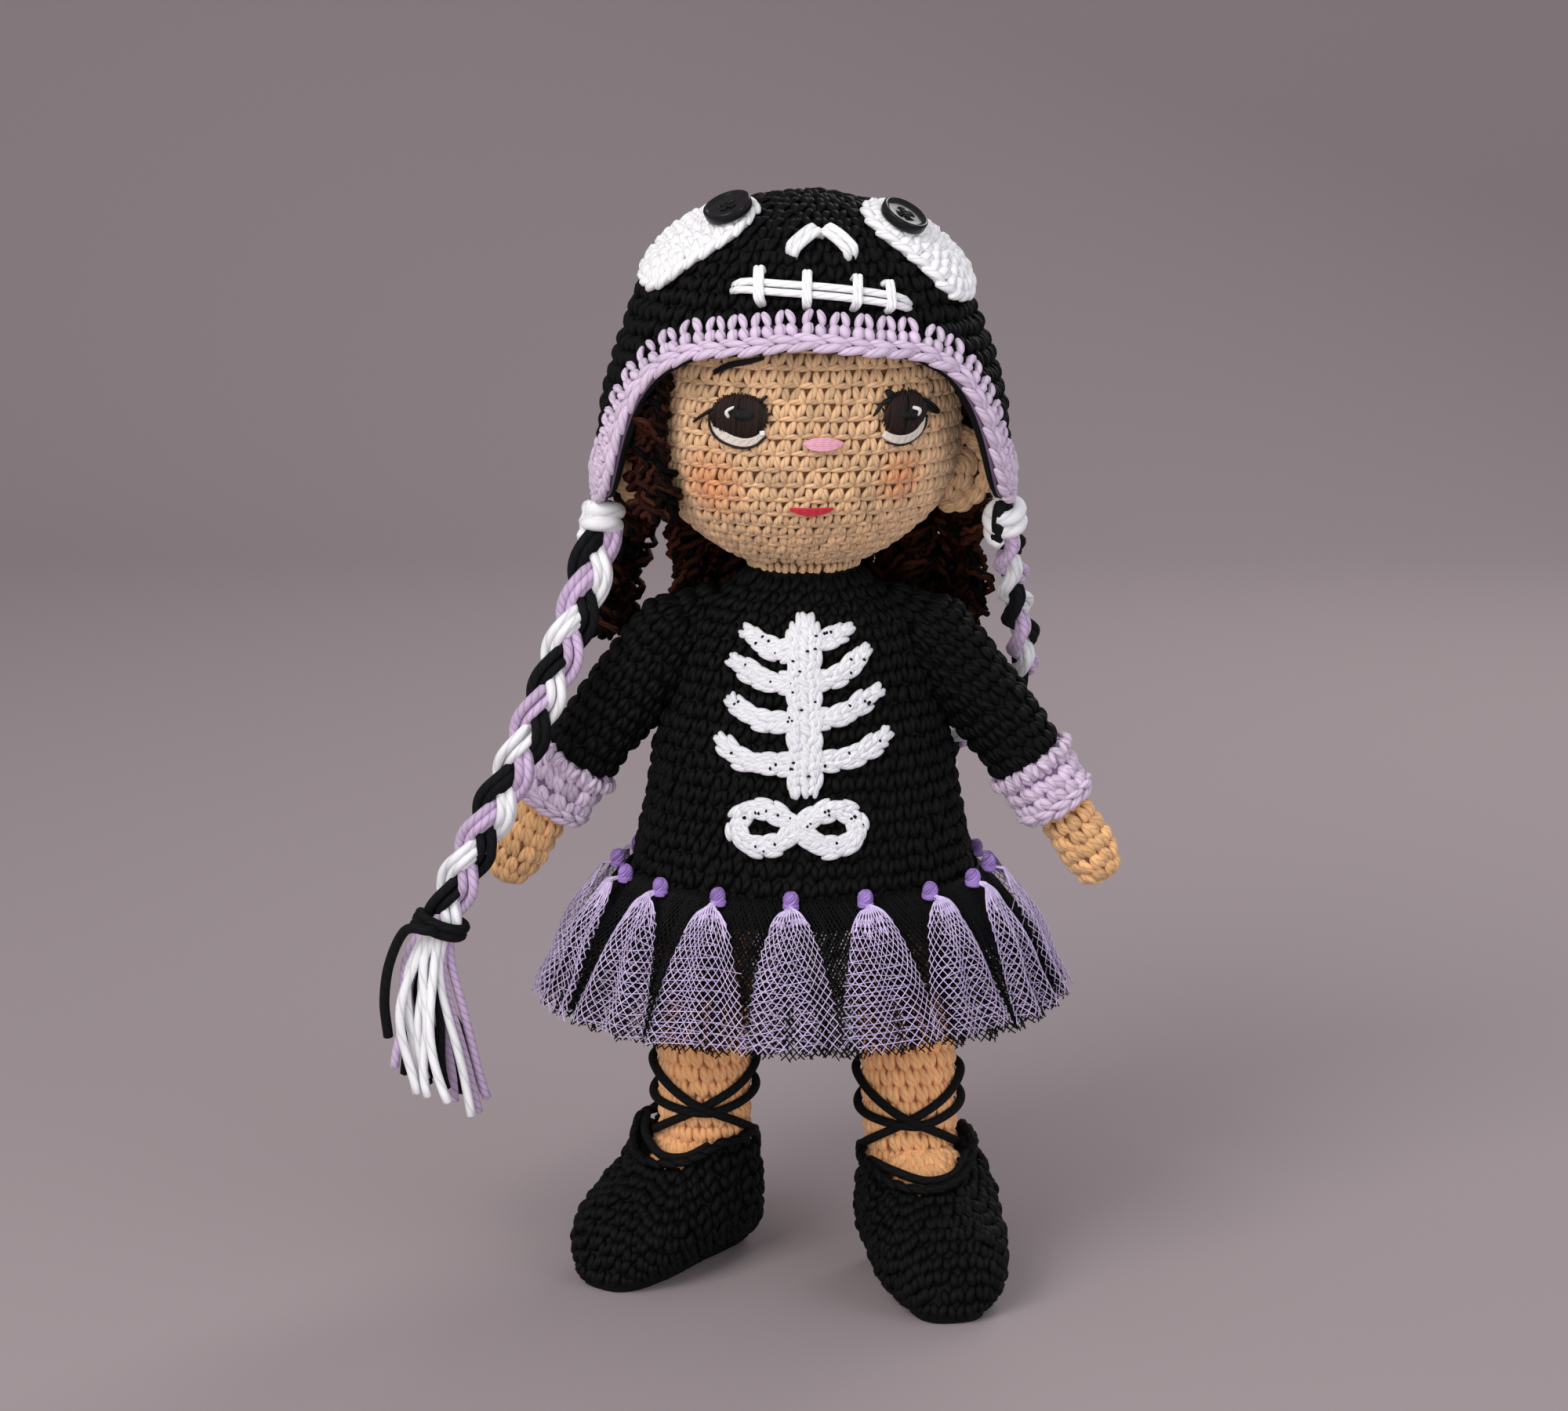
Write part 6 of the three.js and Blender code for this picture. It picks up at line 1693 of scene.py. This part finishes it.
def net_chunks(surface, width, length, rng, pitch, thread, ring=False):
    """Threads of a net in two slanted families on surface(u, v), where u runs across the cut piece and v
    down it, both in metres. A ring piece closes on itself; another has cut sides."""
    gap_along = pitch * math.sqrt(2)
    chunks = []
    for sign in (-1, 1):
        if ring:
            count = round(width / gap_along)
            starts = [(c * width / count, 0.0, length) for c in range(count)]
        else:
            starts = []
            for c in np.arange(-length + gap_along / 2, width, gap_along):
                low, high = max(0.0, -c), min(length, width - c)
                if high - low > 0.0012:
                    starts.append((c if sign > 0 else width - c, low, high))
        groups = {}
        for c, low, high in starts:
            steps = max(3, math.ceil((high - low) * math.sqrt(2) / 0.0020))
            v = np.linspace(low, high + rng.uniform(-0.0006, 0.0006), steps)
            groups.setdefault(steps, []).append(surface(c + sign * v, np.clip(v, 0, None)))
        for lines in groups.values():
            chunks.append(cord_chunk(lines, thread, sides=3, tone=rng.normal(0, 0.4, len(lines)),
                                     up=(0.1, 0.2, 1)))
    return chunks


# Each layer: its height off the skirt, its pleats and their depth, its reach down, and its mesh's fineness.
net_layers = ((-0.0014, 37, 0.0019, 0.97, 1.0), (0.0004, 41, 0.0021, 1.0, 1.0),
              (0.0020, 34, 0.0019, 0.99, 1.0), (0.0008, 46, 0.0014, 0.66, 0.72))
net_pitch, net_thread, net_share = 0.00150, 0.00021, 0.80
cut_width = 0.560
for number, (lift, pleats, deep, reach, fine) in enumerate(net_layers):
    rng = np.random.default_rng(101 + number)
    cut_length = 0.0385 * reach
    phase = rng.uniform(0, 6.3, 3)

    def layer(u, v, lift=lift, pleats=pleats, deep=deep, reach=reach, phase=phase, cut_length=cut_length):
        """A place on a layer: pleats deepen down from the gathered top, and the hem rises and falls."""
        turn = u / cut_width * 2 * np.pi
        share = v / cut_length * reach
        grow = np.clip(share * 1.5, 0.0, 1.0)
        fold = np.sin(pleats * turn + phase[0] + 1.1 * np.sin(5 * turn + phase[1])) * deep * grow
        hem = 0.012 * np.sin(9 * turn + phase[2]) * share
        return skirt_point(turn + 0.006 * np.sin(23 * turn) * grow, share + hem, lift * grow + fold)

    net_piece = piece_mesh(
        "tulle_layer_%d" % (number + 1),
        net_chunks(layer, cut_width, cut_length, rng=rng, pitch=net_pitch * fine, thread=net_thread,
                   ring=True),
        [black_net], "root", "tutu_underlayer" if number == 0 else None,
    )


# The lilac strips: sixteen pieces of the same tulle, each knotted through a stitch at the hem of the dress.
# From its knot a strip fans out over the black net, with one edge folded under.
lilac_net = yarn_material("lilac tulle thread", (0.78, 0.64, 0.97), plies=1, twists=0, dark=0.0, spread=0.2,
                          fuzz=0.1, roughness=0.45, sheen=0.2)
lilac_knot = yarn_material("knotted lilac tulle", (0.40, 0.24, 0.66), plies=4, twists=120, dark=0.35,
                           spread=0.25, fuzz=0.3, roughness=0.6, sheen=0.1)
strip_width, strip_length = 0.036, 0.038
strip_pitch, strip_thread, strip_share = 0.00212, 0.00015, 0.50
strip_count = 16
for number in range(strip_count):
    rng = np.random.default_rng(120 + number)
    middle = (number - 0.17) / strip_count * 2 * np.pi
    hand = rng.choice([-1, 1])
    spread = 0.0295 * rng.uniform(0.86, 1.10)
    turn_under = rng.uniform(0.86, 0.98)
    sway = rng.uniform(-0.06, 0.06)
    waves = rng.uniform(0, 6.3, 3)
    reach = rng.uniform(0.91, 0.99)

    def strip(u, v, middle=middle, hand=hand, spread=spread, turn_under=turn_under, sway=sway, waves=waves,
              reach=reach):
        """A place on a strip: it widens from the knot as t**0.52, waves, and folds back past turn_under."""
        s = np.clip(u / strip_width, -0.02, 1.02)
        t = np.clip(v / strip_length, 0, 1.03)
        folded = s >= turn_under
        fold_share = np.where(folded, 1 - 0.75 * (s - turn_under) / (1 - turn_under), s / turn_under)
        side = hand * (fold_share - 0.5)
        wide = spread * (0.08 + 0.92 * t**0.52)
        share = 0.045 + 0.955 * t * reach - 0.02 * np.sin(np.pi * fold_share) * (1 - t)
        share = share + 0.012 * np.sin(7 * s + waves[0])
        over = np.where(folded, 0.15 + 0.85 * np.clip(1 - (s - turn_under) * 12, 0, 1), 1.0)
        fold = 0.0010 * np.sin(2 * np.pi * 2.2 * fold_share + waves[1]) * np.clip(t * 2, 0, 1)
        puff = 0.0022 * np.sin(np.pi * np.clip(t * 1.4, 0, 1)) * np.cos(side * 2.6)
        lift = 0.0030 + 0.0014 * over + fold + puff + 0.0014 * np.clip(1 - t * 6, 0, 1)
        turn = middle + (side * wide + sway * 0.065 * t) / (0.049 + 0.019 * share**0.85)
        return skirt_point(turn, share, lift)

    chunks = net_chunks(strip, strip_width, strip_length, rng=rng, pitch=strip_pitch,
                        thread=strip_thread)
    # The knot: nine swirled folds, and the strip wound round them 1.7 times.
    top = skirt_point(middle, -0.01, 0.0029)
    ways = np.array([[math.cos(middle), math.sin(middle), 0], [math.sin(middle), -math.cos(middle), 0],
                     [0, 0, 1]])
    polar = np.linspace(0.35, 2.75, 12)
    swirl = []
    for k in range(9):
        angle = 2 * np.pi * k / 9 + 1.6 * polar
        ring = 0.00155 * np.sin(polar) * (1 + 0.15 * np.sin(3 * angle + waves[2]))
        fold = np.stack([ring * np.cos(angle), ring * np.sin(angle), 0.00205 * np.cos(polar)], 1)
        swirl.append(top + fold @ ways)
    chunks.append(cord_chunk(swirl, radii=0.00050, sides=6, tone=rng.normal(0, 0.8, 9), slot=1))
    wrap = np.linspace(0, 2 * np.pi * 1.7, 40)
    rise = 0.0009 * wrap / wrap[-1] - 0.0019
    loop = top + np.stack([0.00150 * np.cos(wrap), 0.00150 * np.sin(wrap), rise], 1) @ ways
    chunks.append(cord_chunk([loop], radii=0.00062, sides=7, tone=[0.3], slot=1))
    strands = []
    for k in range(12):
        fall = np.linspace(0, strip_length * rng.uniform(0.06, 0.2), 10)
        places = strip(np.full(10, strip_width * (k + 0.5) / 12), fall)
        strands.append(smooth_line(np.vstack([top - [0, 0, 0.001], places]), 12))
    chunks.append(cord_chunk(strands, radii=0.00022, sides=4, tone=rng.normal(0, 0.4, 12)))
    word = "%02d" % (number + 1)
    strip_piece = piece_mesh("tulle_panel_" + word, chunks, [lilac_net, lilac_knot], "root",
                             "tulle_strip_" + word)
